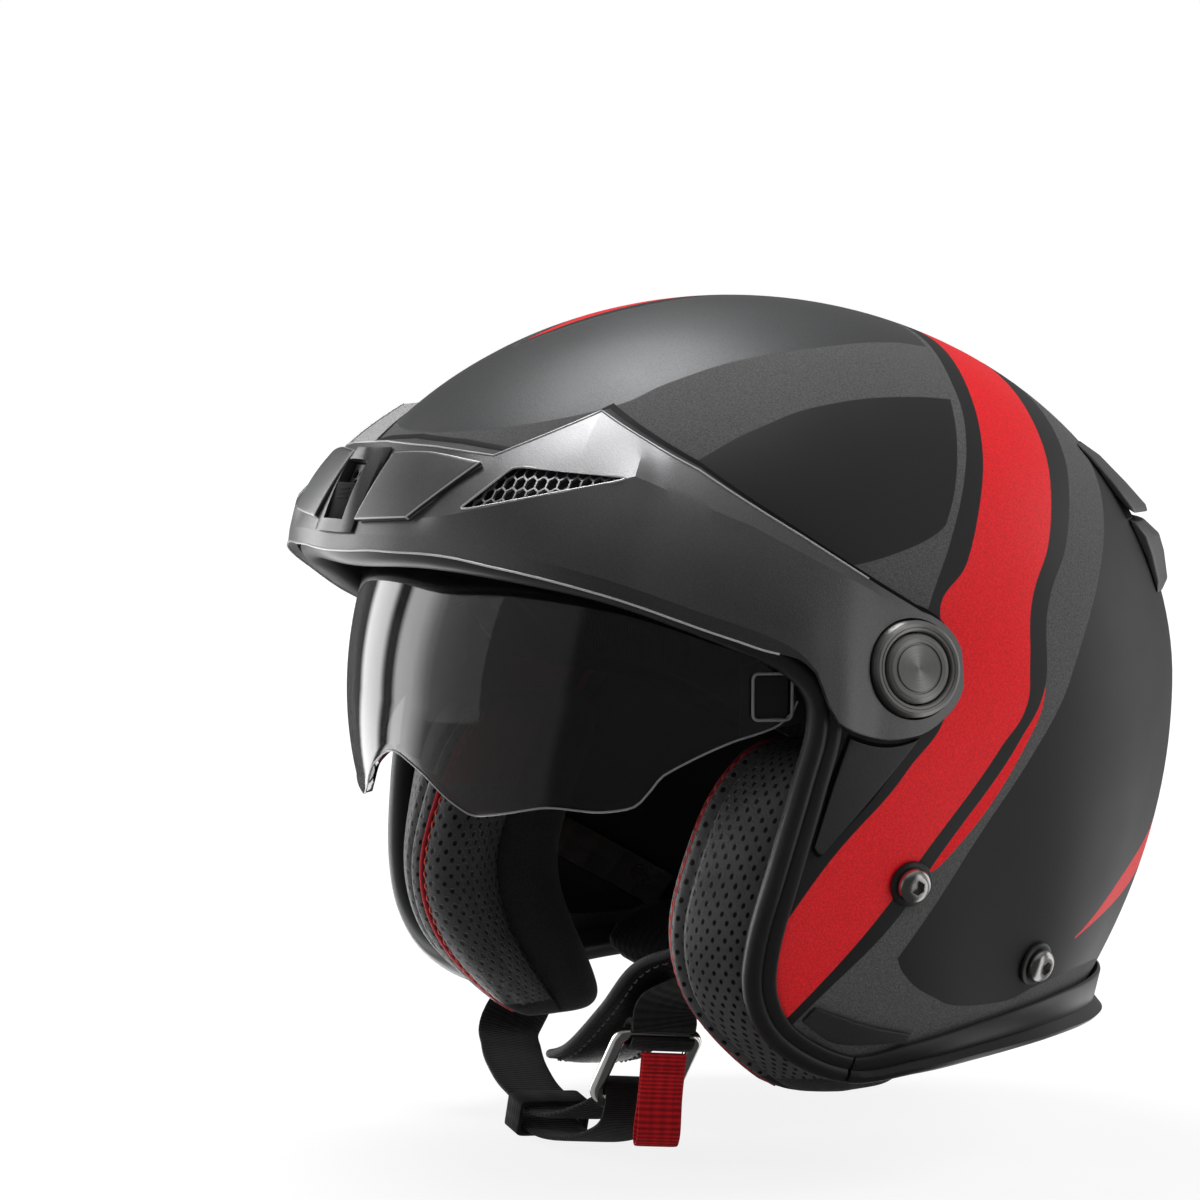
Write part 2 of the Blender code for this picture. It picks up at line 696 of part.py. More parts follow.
def make_panels():
    for name, side in SIDES.items():

        def brow_panel(u, v):
            turn, height = between(BROW_PANEL_TOP, BROW_PANEL_FOOT, u, v)
            rise = brow_rise(turn, height * MM) + SEAT_GAP + BROW_PANEL_WALL
            return skin(side * turn, height * MM, rise)

        def side_panel(u, v):
            turn, height = between(SIDE_PANEL_FRONT, SIDE_PANEL_REAR, u, v)
            sag = SIDE_PANEL_SAG * (1 - u) * 4 * v * (1 - v)
            return skin(side * turn, height * MM - sag, SEAT_GAP + PANEL_WALL)

        def corner_panel(u, v):
            turn, height = between(CORNER_PANEL_TOP, CORNER_PANEL_FOOT, u, v)
            return skin(side * turn, height * MM, SEAT_GAP + PANEL_WALL)

        panel(f"brow_panel_{name}", brow_panel, 4, 4, "brow", BROW_PANEL_WALL)
        panel(f"side_panel_{name}", side_panel, 6, 4, "brow", PANEL_WALL)
        panel(f"corner_panel_{name}", corner_panel, 6, 2, "brow", PANEL_WALL)


def nose_rise(height):
    share = (height - NOSE_FOOT) / (NOSE_HEAD - NOSE_FOOT)
    return NOSE_FOOT_RISE + (NOSE_RISE - NOSE_FOOT_RISE) * share


def nose_frame():
    """The window's frame: X across, Y up the housing's face and Z out of it."""
    foot = skin(0, NOSE_FOOT, nose_rise(NOSE_FOOT))
    head = skin(0, NOSE_HEAD, nose_rise(NOSE_HEAD))
    up = (head - foot).normalized()
    out = X_AXIS.cross(up)
    turn = Matrix((X_AXIS, up, out)).transposed().to_4x4()
    return Matrix.Translation((foot + head) / 2 - out * NOSE_WALL / 2) @ turn


def make_front_vent():
    """A housing on the brow's front with a window, a mesh behind it and a shutter that slides up in it."""
    columns = 6
    rows = 6
    sections = []
    for row in range(rows + 1):
        height = NOSE_FOOT + (NOSE_HEAD - NOSE_FOOT) * row / rows
        taper = 1 - 0.35 * (row / rows) ** 3
        turns = [NOSE_HALF_TURN * taper * (2 * i / columns - 1) for i in range(columns + 1)]
        front = []
        for turn in turns:
            crown = 1 - (turn / (NOSE_HALF_TURN * taper)) ** 4
            seat = brow_rise(turn, height) + SEAT_GAP
            front.append(skin(turn, height, seat + (nose_rise(height) - seat) * (0.35 + 0.65 * crown)))
        back = [skin(turn, height, brow_rise(turn, height) + SEAT_GAP) for turn in reversed(turns)]
        sections.append(front + back)
    housing = add_part("front_vent_housing", loft(sections), "brow")
    frame = nose_frame()
    window = bmesh.new()
    cut = Matrix.Diagonal((WINDOW_WIDTH, WINDOW_HEIGHT, 2 * NOSE_RISE, 1))
    bmesh.ops.create_cube(window, size=1.0, matrix=frame @ cut)
    combine(housing, add_cutter("front_vent_window", window))

    shutter = bmesh.new()
    width = WINDOW_WIDTH - 2 * RUN_GAP
    height = WINDOW_HEIGHT - 2 * RUN_GAP - SHUTTER_TRAVEL - SHUTTER_SPARE
    drop = (WINDOW_HEIGHT - height) / 2 - RUN_GAP
    plate = Matrix.Diagonal((width, height, SHUTTER_DEPTH, 1))
    bmesh.ops.create_cube(shutter, size=1.0, matrix=plate)
    upper = [vert for vert in shutter.verts if vert.co.y > 0 and vert.co.z > 0]
    for vert in upper:
        vert.co.z += SHUTTER_TAB
    slide = add_part("front_vent_shutter", shutter, "shutter")
    slide.matrix_world = frame @ Matrix.Translation((0, -drop, 0))

    half = Vector((WINDOW_WIDTH / 2 - RUN_GAP, WINDOW_HEIGHT / 2 - RUN_GAP))
    corners = [(-half.x, -half.y), (half.x, -half.y), (half.x, half.y), (-half.x, half.y)]
    plate = honeycomb([Vector(corner) for corner in corners], CELL_ACROSS / 2 + CELL_WEB / 2)
    mesh = add_part("front_vent_mesh", plate, "mesh")
    depth = (SHUTTER_DEPTH + MESH_PLATE) / 2 + RUN_GAP
    mesh.matrix_world = frame @ Matrix.Translation((0, 0, -depth))


def pivot_on(side, offset=0.0):
    return beside(PIVOT_Y, PIVOT_Z, offset, side)


def disc_seat(side):
    origin = pivot_on(side)
    return origin, outward(origin)


def make_pivots():
    for name, side in SIDES.items():
        origin, axis = disc_seat(side)
        foot = 0.7 * MM
        groove = DISC_RADIUS - DISC_RIM
        ring = [
            (DISC_RADIUS - 1.2 * MM, DISC_HEIGHT - 0.6 * MM), (DISC_RADIUS - 0.4 * MM, DISC_HEIGHT - 1 * MM),
            (DISC_RADIUS, DISC_HEIGHT - 2 * MM), (DISC_RADIUS, foot), (groove, foot),
            (groove, DISC_HEIGHT - 1.2 * MM),
        ]
        turned(f"pivot_ring_{name}", ring, origin, axis, "turned", 24, ring=True)
        top = DISC_HEIGHT - 0.5 * MM
        edge = groove - CAP_GAP
        cap = [
            (0, top), (edge - 1.6 * MM, top), (edge - 0.5 * MM, top - 0.4 * MM),
            (edge, top - 1 * MM), (edge, foot), (0, foot),
        ]
        turned(f"pivot_cap_{name}", cap, origin, axis, "turned", 24)

        along = X_AXIS * side
        arm_outer = abs(pivot_on(side, arm_offset()).x)
        arm_inner = abs(pivot_on(side, arm_offset() - ARM_WALL).x)
        round_bush = [math.tau * k / 12 for k in range(12)]
        shell_inner = min(
            beside(PIVOT_Y + BUSH_RADIUS * math.cos(a), PIVOT_Z + BUSH_RADIUS * math.sin(a), -SHELL_WALL, 1).x
            for a in round_bush
        )
        shell_outer = abs(origin.x)
        axis_point = Vector((0, PIVOT_Y, PIVOT_Z))
        head = arm_inner - RUN_GAP
        pin = [
            (0, shell_outer - SEAT_GAP), (PIN_RADIUS, shell_outer - SEAT_GAP), (PIN_RADIUS, head),
            (PIN_FLANGE_RADIUS, head), (PIN_FLANGE_RADIUS, head - PIN_FLANGE), (0, head - PIN_FLANGE),
        ]
        turned(f"pivot_pin_{name}", pin, axis_point, along, "steel", 12)
        low = arm_outer + RUN_GAP
        bush = [
            (BUSH_RADIUS, shell_inner - INNER_GAP), (BUSH_RADIUS, low),
            (PIN_RADIUS + SEAT_GAP, low), (PIN_RADIUS + SEAT_GAP, shell_inner - INNER_GAP),
        ]
        turned(f"pivot_bush_{name}", bush, axis_point, along, "bush", 12, ring=True)


def visor_offset():
    return -SHELL_WALL - VISOR_CLEARANCE


def arm_offset():
    return visor_offset() - VISOR_WALL - SEAT_GAP


def visor_rest():
    """Swings a point of the parked visor down to its rest place."""
    pivot = Vector((0, PIVOT_Y, PIVOT_Z))
    swing = Matrix.Rotation(VISOR_PARK, 4, "X")
    return Matrix.Translation(pivot) @ swing @ Matrix.Translation(-pivot)


def pivot_ray(side, swing):
    return Vector((math.sin(side), -math.cos(side) * math.cos(swing), math.cos(side) * math.sin(swing)))


def from_pivot(side, swing, offset):
    """Where a line from the middle of the visor's axis meets the shell grown by offset."""
    start = Vector((0, PIVOT_Y, PIVOT_Z))
    ray = pivot_ray(side, swing)
    near, far = 0.0, SHELL_FRONT + SHELL_REAR
    for _ in range(40):
        middle = (near + far) / 2
        point = start + ray * middle
        if level_share(point.x, point.y, offset) + height_share(*point, offset) > 1:
            far = middle
        else:
            near = middle
    return start + ray * near


def visor_side(y, z, offset, side):
    """A point beside the visor's arm, on the surface that is parallel to the shell when the visor is parked."""
    down = visor_rest()
    parked = down.inverted() @ Vector((0, y, z))
    return down @ beside(parked.y, parked.z, offset, side)


def clip_y():
    """Where the clip sits in the side view, ahead of the lens's rear end."""
    swing = math.radians(follow(VISOR_LOW, VISOR_END) + follow(VISOR_TOP, VISOR_END)) / 2
    end = visor_rest() @ from_pivot(math.radians(VISOR_END), swing + VISOR_PARK, visor_offset())
    return end.y - CLIP_FROM_END


def clip_block(side, grow, low, high):
    """The square clip that fixes an arm to the lens, between two offsets."""
    width = CLIP_WIDTH / 2 + grow
    height = CLIP_HEIGHT / 2 + grow
    steps = 2
    ring = []
    for a, b in ((-1, -1), (1, -1), (1, 1), (-1, 1)):
        ring.append((clip_y() + a * width, CLIP_Z + b * height))
    outline = []
    for i, corner in enumerate(ring):
        following = ring[(i + 1) % len(ring)]
        for step in range(steps):
            t = step / steps
            outline.append([p + (q - p) * t for p, q in zip(corner, following)])
    return loft([[visor_side(y, z, offset, side) for y, z in outline] for offset in (low, high)])


def make_visor():
    pivot = Vector((0, PIVOT_Y, PIVOT_Z))
    down = visor_rest()

    def lens_point(u, v):
        side = VISOR_END * (2 * u - 1)
        low = follow(VISOR_LOW, abs(side))
        top = follow(VISOR_TOP, abs(side))
        swing = math.radians(low + (top - low) * v) + VISOR_PARK
        return down @ from_pivot(math.radians(side), swing, visor_offset())

    lens = add_part("sun_visor", face_outward(sheet(40, 5, lens_point)), "lens")
    rest_origin_on(lens, pivot)
    thicken(lens, VISOR_WALL)
    for name, side in SIDES.items():
        window = clip_block(side, SEAT_GAP, visor_offset() - VISOR_WALL - 2 * MM, visor_offset() + 2 * MM)
        combine(lens, add_cutter(f"visor_window_{name}", window))
        reach = PIVOT_Y - clip_y() + CLIP_WIDTH / 2 + 2 * MM
        lean = (CLIP_Z - PIVOT_Z) / (PIVOT_Y - clip_y())

        def arm_point(u, v):
            run = -ARM_EYE + (reach + ARM_EYE) * (1 - math.cos(math.pi * u / 2))
            half = ARM_HALF_WIDTH
            if run < 0:
                half = math.sqrt(max(ARM_EYE**2 - run**2, 0))
            elif run < ARM_EYE:
                half = ARM_EYE + (ARM_HALF_WIDTH - ARM_EYE) * run / ARM_EYE
            height = PIVOT_Z + lean * max(run, 0) + half * (2 * v - 1)
            point = visor_side(PIVOT_Y - run, height, arm_offset(), side)
            bend = min(max(run / ARM_EYE - 1, 0), 1)
            flat = pivot_on(side, arm_offset()).x
            return Vector((flat + (point.x - flat) * bend * bend * (3 - 2 * bend), point.y, point.z))

        arm = panel(f"visor_arm_{name}", arm_point, 14, 2, "arm", ARM_WALL)
        rest_origin_on(arm, pivot)
        clip = clip_block(side, 0.0, arm_offset() - ARM_WALL / 2, visor_offset() - SEAT_GAP)
        combine(arm, add_cutter(f"visor_clip_{name}", clip), "UNION")
        eye = bmesh.new()
        peg(eye, pivot, X_AXIS * side, PIN_RADIUS + RUN_GAP, SHELL_HALF_WIDTH * 0.7, SHELL_HALF_WIDTH)
        combine(arm, add_cutter(f"visor_eye_{name}", eye))


def pocket_floor(side, swing, depth):
    """The nearest to the visor's axis that anything parked at a depth comes on a line, as the visor swings down."""
    start = Vector((0, PIVOT_Y, PIVOT_Z))
    steps = 12
    parked = [min(swing + VISOR_PARK * k / steps, POCKET_TOP) for k in range(steps + 1)]
    reach = min((from_pivot(side, angle, -depth) - start).length for angle in parked)
    return start + pivot_ray(side, swing) * reach


def pocket_cutter():
    """The room between shell and foam where the visor parks and its arms swing."""
    depth = SHELL_WALL + VISOR_CLEARANCE + VISOR_WALL + SEAT_GAP + ARM_WALL + POCKET_CLEARANCE
    rows, columns = 28, 8
    sections = []
    for i in range(rows + 1):
        side = POCKET_SIDE * (2 * i / rows - 1)
        swings = [POCKET_LOW + (POCKET_TOP - POCKET_LOW) * k / columns for k in range(columns + 1)]
        outer = [from_pivot(side, swing, 2 * MM) for swing in swings]
        inner = [pocket_floor(side, swing, depth) for swing in reversed(swings)]
        sections.append(outer + inner)
    return add_cutter("visor_pocket", loft(sections))


def make_liner():
    foam = add_part("foam_liner", dome(FOAM_EDGE, -SHELL_WALL - INNER_GAP, whole_positions(FOAM_EDGE), 6), "foam")
    thicken(foam, FOAM_WALL)
    combine(foam, pocket_cutter())
    rooms = bmesh.new()
    for side in SIDES.values():
        inner = abs(pivot_on(side, arm_offset() - ARM_WALL).x) - RUN_GAP - PIN_FLANGE - POCKET_CLEARANCE
        start = Vector((0, PIVOT_Y, PIVOT_Z))
        peg(rooms, start, X_AXIS * side, POCKET_ROUND_AXIS, inner, SHELL_HALF_WIDTH + 4 * MM, 28)
    combine(foam, add_cutter("pivot_rooms", rooms))
    crown_offset = -SHELL_WALL - INNER_GAP - FOAM_WALL - CROWN_PAD_GAP
    crown = add_part("crown_pad", dome(CROWN_PAD_EDGE, crown_offset, whole_positions(CROWN_PAD_EDGE), 6), "fabric")
    thicken(crown, CROWN_PAD_WALL)


def make_neck_pad():
    offset = -SHELL_WALL - BASE_GAP - TRIM_LIP - SHELL_GAP - NECK_PAD_RADIUS
    sections = []
    for i in range(NECK_PAD_STEPS + 1):
        share = i / NECK_PAD_STEPS
        turn = NECK_PAD_FIRST + (NECK_PAD_LAST - NECK_PAD_FIRST) * share
        radius = NECK_PAD_RADIUS * min(1, 0.55 + 6 * min(share, 1 - share))
        ring = []
        for k in range(8):
            angle = math.tau * k / 8
            rise = NECK_PAD_HEIGHT + radius * math.sin(angle)
            ring.append(skin(turn, rise, offset + radius * math.cos(angle)))
        sections.append(ring)
    add_part("neck_pad", loft(sections), "fabric")


def make_cheek_pads():
    """Cheek pads: at each height a front roll, two sewn lobes on the inner face and a back along the shell."""
    seam = sorted(CHEEK_SEAM)
    edge = sorted(CHEEK_EDGE)
    back = -SHELL_WALL - CHEEK_BACK_CLEARANCE
    front = -SHELL_WALL - BASE_GAP - TRIM_LIP - SEAT_GAP
    for name, side in SIDES.items():
        sections = []
        for height, share in zip(CHEEK_LEVELS, CHEEK_SHARE):
            z = height * MM
            seam_y = follow(seam, height) * MM
            trim = skin(follow(edge, height) + 0.5, z, front)
            roll = Vector((CHEEK_SEAM_X, seam_y, z))
            ahead = Vector((0, -CHEEK_ROLL, 0))
            plan = [
                trim,
                trim.lerp(roll, 0.3) + ahead * 0.8,
                trim.lerp(roll, 0.7) + ahead,
                roll + Vector((-0.5 * MM, 1.5 * MM, 0)),
                Vector((CHEEK_SEAM_X - CHEEK_LOBE, seam_y + 9 * MM, z)),
                Vector((CHEEK_SEAM_X - CHEEK_LOBE, seam_y + 18 * MM, z)),
                Vector((CHEEK_SEAM_X + CHEEK_LOBE * 0.6, seam_y + 26 * MM, z)),
                Vector((CHEEK_SEAM_X - CHEEK_LOBE * 0.4, seam_y + 35 * MM, z)),
                Vector((CHEEK_SEAM_X + 3 * MM, seam_y + 47 * MM, z)),
                Vector((CHEEK_SEAM_X + 14 * MM, seam_y + 56 * MM, z)),
                beside(seam_y + 54 * MM, z, back, 1),
                beside(seam_y + 36 * MM, z, back, 1),
                trim.lerp(beside(seam_y + 36 * MM, z, back, 1), 0.45),
            ]
            middle = sum(plan, Vector()) / len(plan)
            ring = [middle.lerp(point, share) for point in plan]
            sections.append([Vector((side * point.x, point.y, point.z)) for point in ring])
        pad = add_part(f"cheek_pad_{name}", loft(sections), "leather")
        soften(pad)


def screw_seat(place, side):
    turn, height = SCREW_PLACES[place]
    origin = skin(side * turn, height * MM)
    return origin, outward(origin)


def make_screws():
    for name, side in SIDES.items():
        for place in SCREW_PLACES:
            origin, axis = screw_seat(place, side)
            washer = [
                (WASHER_RADIUS - 0.6 * MM, WASHER_HEIGHT + SEAT_GAP), (WASHER_RADIUS, 2 * SEAT_GAP),
                (SCREW_RADIUS + SEAT_GAP, 2 * SEAT_GAP), (SCREW_RADIUS + SEAT_GAP, WASHER_HEIGHT + SEAT_GAP),
            ]
            turned(f"strap_washer_{place}_{name}", washer, origin, axis, "rubber", 16, ring=True)
            seat = WASHER_HEIGHT + 2 * SEAT_GAP
            top = seat + SCREW_HEAD_HEIGHT
            tip = -SHELL_WALL - INNER_GAP - BAR_WALL - SEAT_GAP
            screw = [
                (0, top), (SCREW_HEAD_RADIUS * 0.62, top), (SCREW_HEAD_RADIUS * 0.88, top - 0.8 * MM),
                (SCREW_HEAD_RADIUS, top - 1.9 * MM), (SCREW_HEAD_RADIUS, seat), (SCREW_RADIUS, seat),
                (SCREW_RADIUS, tip), (0, tip),
            ]
            part = turned(f"strap_screw_{place}_{name}", screw, origin, axis, "steel", 12)
            socket = bmesh.new()
            peg(socket, origin, axis, SCREW_SOCKET, top - SCREW_SOCKET_DEPTH, top + 2 * MM, 6)
            combine(part, add_cutter(f"socket_{place}_{name}", socket))


def make_anchor_bars():
    (front_turn, front_height), (rear_turn, rear_height) = SCREW_PLACES.values()
    for name, side in SIDES.items():

        def bar_point(u, v):
            share = u * (1 + 2 * BAR_MARGIN / 25) - BAR_MARGIN / 25
            turn = front_turn + (rear_turn - front_turn) * share
            height = front_height + (rear_height - front_height) * share
            across = BAR_WIDTH * (v - 0.5)
            slant = math.radians(45)
            turn += math.degrees(across * math.sin(slant) / SHELL_HALF_WIDTH)
            return skin(side * turn, height * MM + across * math.cos(slant), -SHELL_WALL - INNER_GAP)

        bar = panel(f"strap_anchor_{name}", bar_point, 8, 2, "steel", BAR_WALL)
        holes = bmesh.new()
        for place in SCREW_PLACES:
            origin, axis = screw_seat(place, side)
            peg(holes, origin, axis, SCREW_RADIUS + SEAT_GAP, -14 * MM, 4 * MM, 12)
        combine(bar, add_cutter(f"anchor_holes_{name}", holes))


def ring_frame():
    """The D-ring's directions: across the strap, down to its round end, and out of its plane."""
    across = (RING_ACROSS_HINT - RING_FALL * RING_ACROSS_HINT.dot(RING_FALL)).normalized()
    return across, RING_FALL, across.cross(RING_FALL)


def ribbon(route, width, wall, across, steps=3):
    """A flat strap along a smooth route; across is the direction of its width at every point of the route."""
    count = (len(route) - 1) * steps
    sections = []
    for i in range(count + 1):
        position = i / steps
        here = spline(route, position)
        ahead = (spline(route, position + 0.02) - spline(route, position - 0.02)).normalized()
        wide = spline(across, position)
        wide = (wide - ahead * wide.dot(ahead)).normalized()
        flat = ahead.cross(wide)
        corners = ((1, 1), (-1, 1), (-1, -1), (1, -1))
        sections.append([here + wide * width / 2 * a + flat * wall / 2 * b for a, b in corners])
    return loft(sections)


def points_of(route):
    return [Vector(point) * MM for point in route]


def strap_offset():
    return -SHELL_WALL - INNER_GAP - BAR_WALL - 3 * SEAT_GAP - STRAP_WALL / 2


def loop_radius():
    return RING_WIRE + 3 * RUN_GAP + STRAP_WALL / 2


def left_strap_route():
    """From the anchor bar through the cheek pad to the loop round the D-rings' straight bars."""
    across, fall, out = ring_frame()
    radius = loop_radius()
    route = [skin(turn, height * MM, strap_offset() - inset * MM) for turn, height, inset in LEFT_PLACES]
    route += points_of(LEFT_ROUTE)
    route.append(RING_BAR - fall * 14 * MM - out * 1.5 * MM)
    for angle in range(200, -130, -40):
        turn = math.radians(angle)
        route.append(RING_BAR + (fall * math.cos(turn) - out * math.sin(turn)) * radius)
    return route


def make_ring():
    across, fall, _ = ring_frame()
    curve = bpy.data.curves.new("d_ring", "CURVE")
    curve.dimensions = "3D"
    curve.bevel_depth = RING_WIRE
    curve.bevel_resolution = 2
    line = curve.splines.new("POLY")
    points = []
    for x, y, first in ((1, 1, 0), (-1, 1, 90), (-1, 0, 180), (1, 0, 270)):
        corner = RING_CORNER if y else RING_CORNER * 0.45
        for step in range(4):
            angle = math.radians(first + 30 * step)
            wide = x * (RING_HALF_WIDTH - corner) + corner * math.cos(angle)
            down = (RING_REACH - corner if y else corner) + corner * math.sin(angle)
            points.append((wide, down))
    line.points.add(len(points) - 1)
    for knot, (wide, down) in zip(line.points, points):
        knot.co = (*(RING_BAR + across * wide + fall * down), 1)
    line.use_cyclic_u = True
    curve.materials.append(MATERIALS["chrome"])
    PARTS.objects.link(bpy.data.objects.new("d_ring", curve))


def right_strap_route():
    """From the anchor bar under the cheek pad, round the D-ring's far end and back as a loose tail."""
    _, fall, out = ring_frame()
    end = RING_BAR + fall * RING_REACH
    route = [skin(-STRAP_TURN, height * MM, strap_offset()) for height in RIGHT_HEIGHTS]
    route += points_of(RIGHT_ROUTE)
    for down, rise in ((5, -4.8), (-4.4, -5), (-8.4, 0), (-4.4, 5), (5, 5)):
        route.append(end + (fall * down + out * rise) * MM)
    return route + points_of(TAIL_ROUTE)


def make_straps():
    across = ring_frame()[0]
    lean = math.radians(STRAP_TURN)
    along_shell = Vector((-math.cos(lean), -math.sin(lean), 0))
    left = left_strap_route()
    left_across = [along_shell] * 3 + [across] * (len(left) - 3)
    add_part("chin_strap_left", ribbon(left, STRAP_WIDTH, STRAP_WALL, left_across, 2), "webbing")
    last = len(LEFT_PLACES) + len(LEFT_ROUTE) + 1
    slot = ribbon(left[:last], STRAP_WIDTH + 3 * MM, STRAP_WALL + 4 * MM, left_across[:last], 2)
    combine(bpy.data.objects["cheek_pad_left"], add_cutter("cheek_slot_left", slot))

    right = right_strap_route()
    held = len(RIGHT_HEIGHTS)
    right_across = [Vector((-along_shell.x, along_shell.y, 0))] * held + [across] * (len(right) - held)
    add_part("chin_strap_right", ribbon(right, STRAP_WIDTH, STRAP_WALL, right_across, 2), "webbing")

    cover = points_of(COVER_ROUTE)
    add_part("strap_cover", ribbon(cover, COVER_WIDTH, COVER_WALL, [across] * len(cover), 3), "leather")


def make_keeper():
    """A band round the strap and its tail."""
    right = right_strap_route()
    first_tail = len(right) - len(TAIL_ROUTE)
    tail = [spline(right, first_tail + k / 20) for k in range(20 * len(TAIL_ROUTE) - 20)]
    place = len(RIGHT_HEIGHTS) + KEEPER_POSITION
    over = spline(right, place)
    under = min(tail, key=lambda point: (point - over).length)
    along = (spline(right, place + 0.02) - spline(right, place - 0.02)).normalized()
    wide = ring_frame()[0]
    wide = (wide - along * wide.dot(along)).normalized()
    flat = along.cross(wide)
    half_wide = STRAP_WIDTH / 2 + abs((over - under).dot(wide)) / 2 + KEEPER_GAP
    half_flat = abs((over - under).dot(flat)) / 2 + STRAP_WALL / 2 + KEEPER_GAP
    middle = (over + under) / 2
    sections = []
    for a, b in ((1, 1), (0, 1), (-1, 1), (-1, 0), (-1, -1), (0, -1), (1, -1), (1, 0)):
        inner = wide * a * half_wide + flat * b * half_flat
        outer = wide * a * (half_wide + KEEPER_WALL) + flat * b * (half_flat + KEEPER_WALL)
        end = along * KEEPER_WIDTH / 2
        sections.append([middle + inner + end, middle + outer + end, middle + outer - end, middle + inner - end])
    add_part("strap_keeper", loft(sections, closed_path=True), "webbing")


def make_pull_tab():
    """A folded ribbon sewn to the strap's loop, hanging beside the D-rings."""
    across, fall, out = ring_frame()
    top = RING_BAR + out * (loop_radius() + STRAP_WALL / 2 + SEAT_GAP + TAB_FOLD)
    hang = Vector((0, 0, -1))
    hang = (hang - across * hang.dot(across)).normalized()
    flat = across.cross(hang)
    shape = [
        (0, TAB_FOLD), (TAB_LENGTH * 0.5, TAB_FOLD * 0.8), (TAB_LENGTH * 0.85, TAB_FOLD * 1.5), (TAB_LENGTH, 0),
        (TAB_LENGTH * 0.85, -TAB_FOLD * 1.5), (TAB_LENGTH * 0.5, -TAB_FOLD * 0.8), (0, -TAB_FOLD),
    ]
    sections = []
    for step in (-1, -0.33, 0.33, 1):
        wide = across * (step * TAB_WIDTH / 2)
        sections.append([top + wide + hang * down + flat * rise for down, rise in shape])
    tab = add_part("pull_tab", loft(sections), "red")
    rest_origin_on(tab, top)


def make_rear_outlet():
    for name, tier in (("rear_outlet_upper", UPPER_TIER), ("rear_outlet_lower", LOWER_TIER)):
        sections = []
        for i in range(OUTLET_STEPS + 1):
            turn = OUTLET_FIRST + (OUTLET_LAST - OUTLET_FIRST) * i / OUTLET_STEPS
            ends = min(turn - OUTLET_FIRST, OUTLET_LAST - turn) / OUTLET_TAPER
            share = 0.5 + 0.5 * min(1, ends)
            ring = []
            for height, rise in tier:
                lifted = SEAT_GAP + (rise * MM - SEAT_GAP) * share
                ring.append(skin(turn, height * MM, lifted))
            sections.append(ring)
        add_part(name, loft(sections), "brow")


def clear_scene():
    for item in list(bpy.data.objects):
        bpy.data.objects.remove(item)


clear_scene()
PARTS = new_collection("open_face_helmet")
CUTTERS = new_collection("cutters")
MATERIALS = {
    "shell": new_material("shell", (0.03, 0.031, 0.033), 0.5),
    "brow": new_material("brow", (0.055, 0.058, 0.06), 0.42),
    "rubber": new_material("rubber", (0.012, 0.012, 0.013), 0.55),
    "mesh": new_material("mesh", (0.01, 0.01, 0.01), 0.5),
    "shutter": new_material("shutter", (0.02, 0.02, 0.022), 0.45),
    "turned": new_material("turned", (0.35, 0.35, 0.36), 0.28, 1.0),
    "steel": new_material("steel", (0.5, 0.5, 0.5), 0.3, 1.0),
    "bush": new_material("bush", (0.6, 0.6, 0.58), 0.5),
    "lens": new_material("lens", (0.02, 0.02, 0.022), 0.05, 0.0, 0.6),
    "arm": new_material("arm", (0.02, 0.02, 0.02), 0.5),
    "foam": new_material("foam", (0.02, 0.02, 0.02), 0.9),
    "fabric": new_material("fabric", (0.015, 0.015, 0.016), 0.9),
    "leather": new_material("leather", (0.018, 0.018, 0.019), 0.55),
    "webbing": new_material("webbing", (0.012, 0.012, 0.012), 0.8),
    "chrome": new_material("chrome", (0.75, 0.75, 0.76), 0.12, 1.0),
    "red": new_material("red", (0.5, 0.008, 0.015), 0.7),
}
make_shell()
make_trims()
make_brow()
make_vent_meshes()
make_panels()
make_front_vent()
make_pivots()
make_visor()
make_liner()
make_neck_pad()
make_cheek_pads()
make_screws()
make_anchor_bars()
make_ring()
make_straps()
make_keeper()
make_pull_tab()
make_rear_outlet()
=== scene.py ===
"""Looks of the open-face motorcycle helmet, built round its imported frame.

Frame: +Z up, the face opening looks along -Y and +X is the wearer's left. An angle called turn is measured
about +Z from dead ahead towards the left. Outlines on the shell are lists of (turn in degrees, height in mm).
A piece called NODE_look takes the place of the CAD node NODE.
"""

import math

import bmesh
import bpy
from mathutils import Matrix, Vector
from mathutils.bvhtree import BVHTree


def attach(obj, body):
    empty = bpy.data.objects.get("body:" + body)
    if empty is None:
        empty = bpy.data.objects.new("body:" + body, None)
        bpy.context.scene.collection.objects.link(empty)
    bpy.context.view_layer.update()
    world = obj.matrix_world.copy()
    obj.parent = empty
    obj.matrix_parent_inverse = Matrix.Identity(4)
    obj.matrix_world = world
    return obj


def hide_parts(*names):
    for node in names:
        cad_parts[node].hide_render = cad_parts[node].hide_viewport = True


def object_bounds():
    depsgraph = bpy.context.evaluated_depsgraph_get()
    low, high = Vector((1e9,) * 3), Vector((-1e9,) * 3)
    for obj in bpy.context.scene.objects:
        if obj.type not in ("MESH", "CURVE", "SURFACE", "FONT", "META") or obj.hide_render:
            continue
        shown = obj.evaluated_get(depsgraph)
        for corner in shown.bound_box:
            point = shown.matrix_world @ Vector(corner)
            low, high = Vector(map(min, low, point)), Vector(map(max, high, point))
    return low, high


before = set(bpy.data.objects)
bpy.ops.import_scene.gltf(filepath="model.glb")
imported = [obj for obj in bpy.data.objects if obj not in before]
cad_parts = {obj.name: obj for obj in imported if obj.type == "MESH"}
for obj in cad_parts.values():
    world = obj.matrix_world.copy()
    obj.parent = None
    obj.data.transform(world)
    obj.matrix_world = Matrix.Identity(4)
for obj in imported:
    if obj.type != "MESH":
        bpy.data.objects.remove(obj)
CAD_BOX = [list(corner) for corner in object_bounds()]

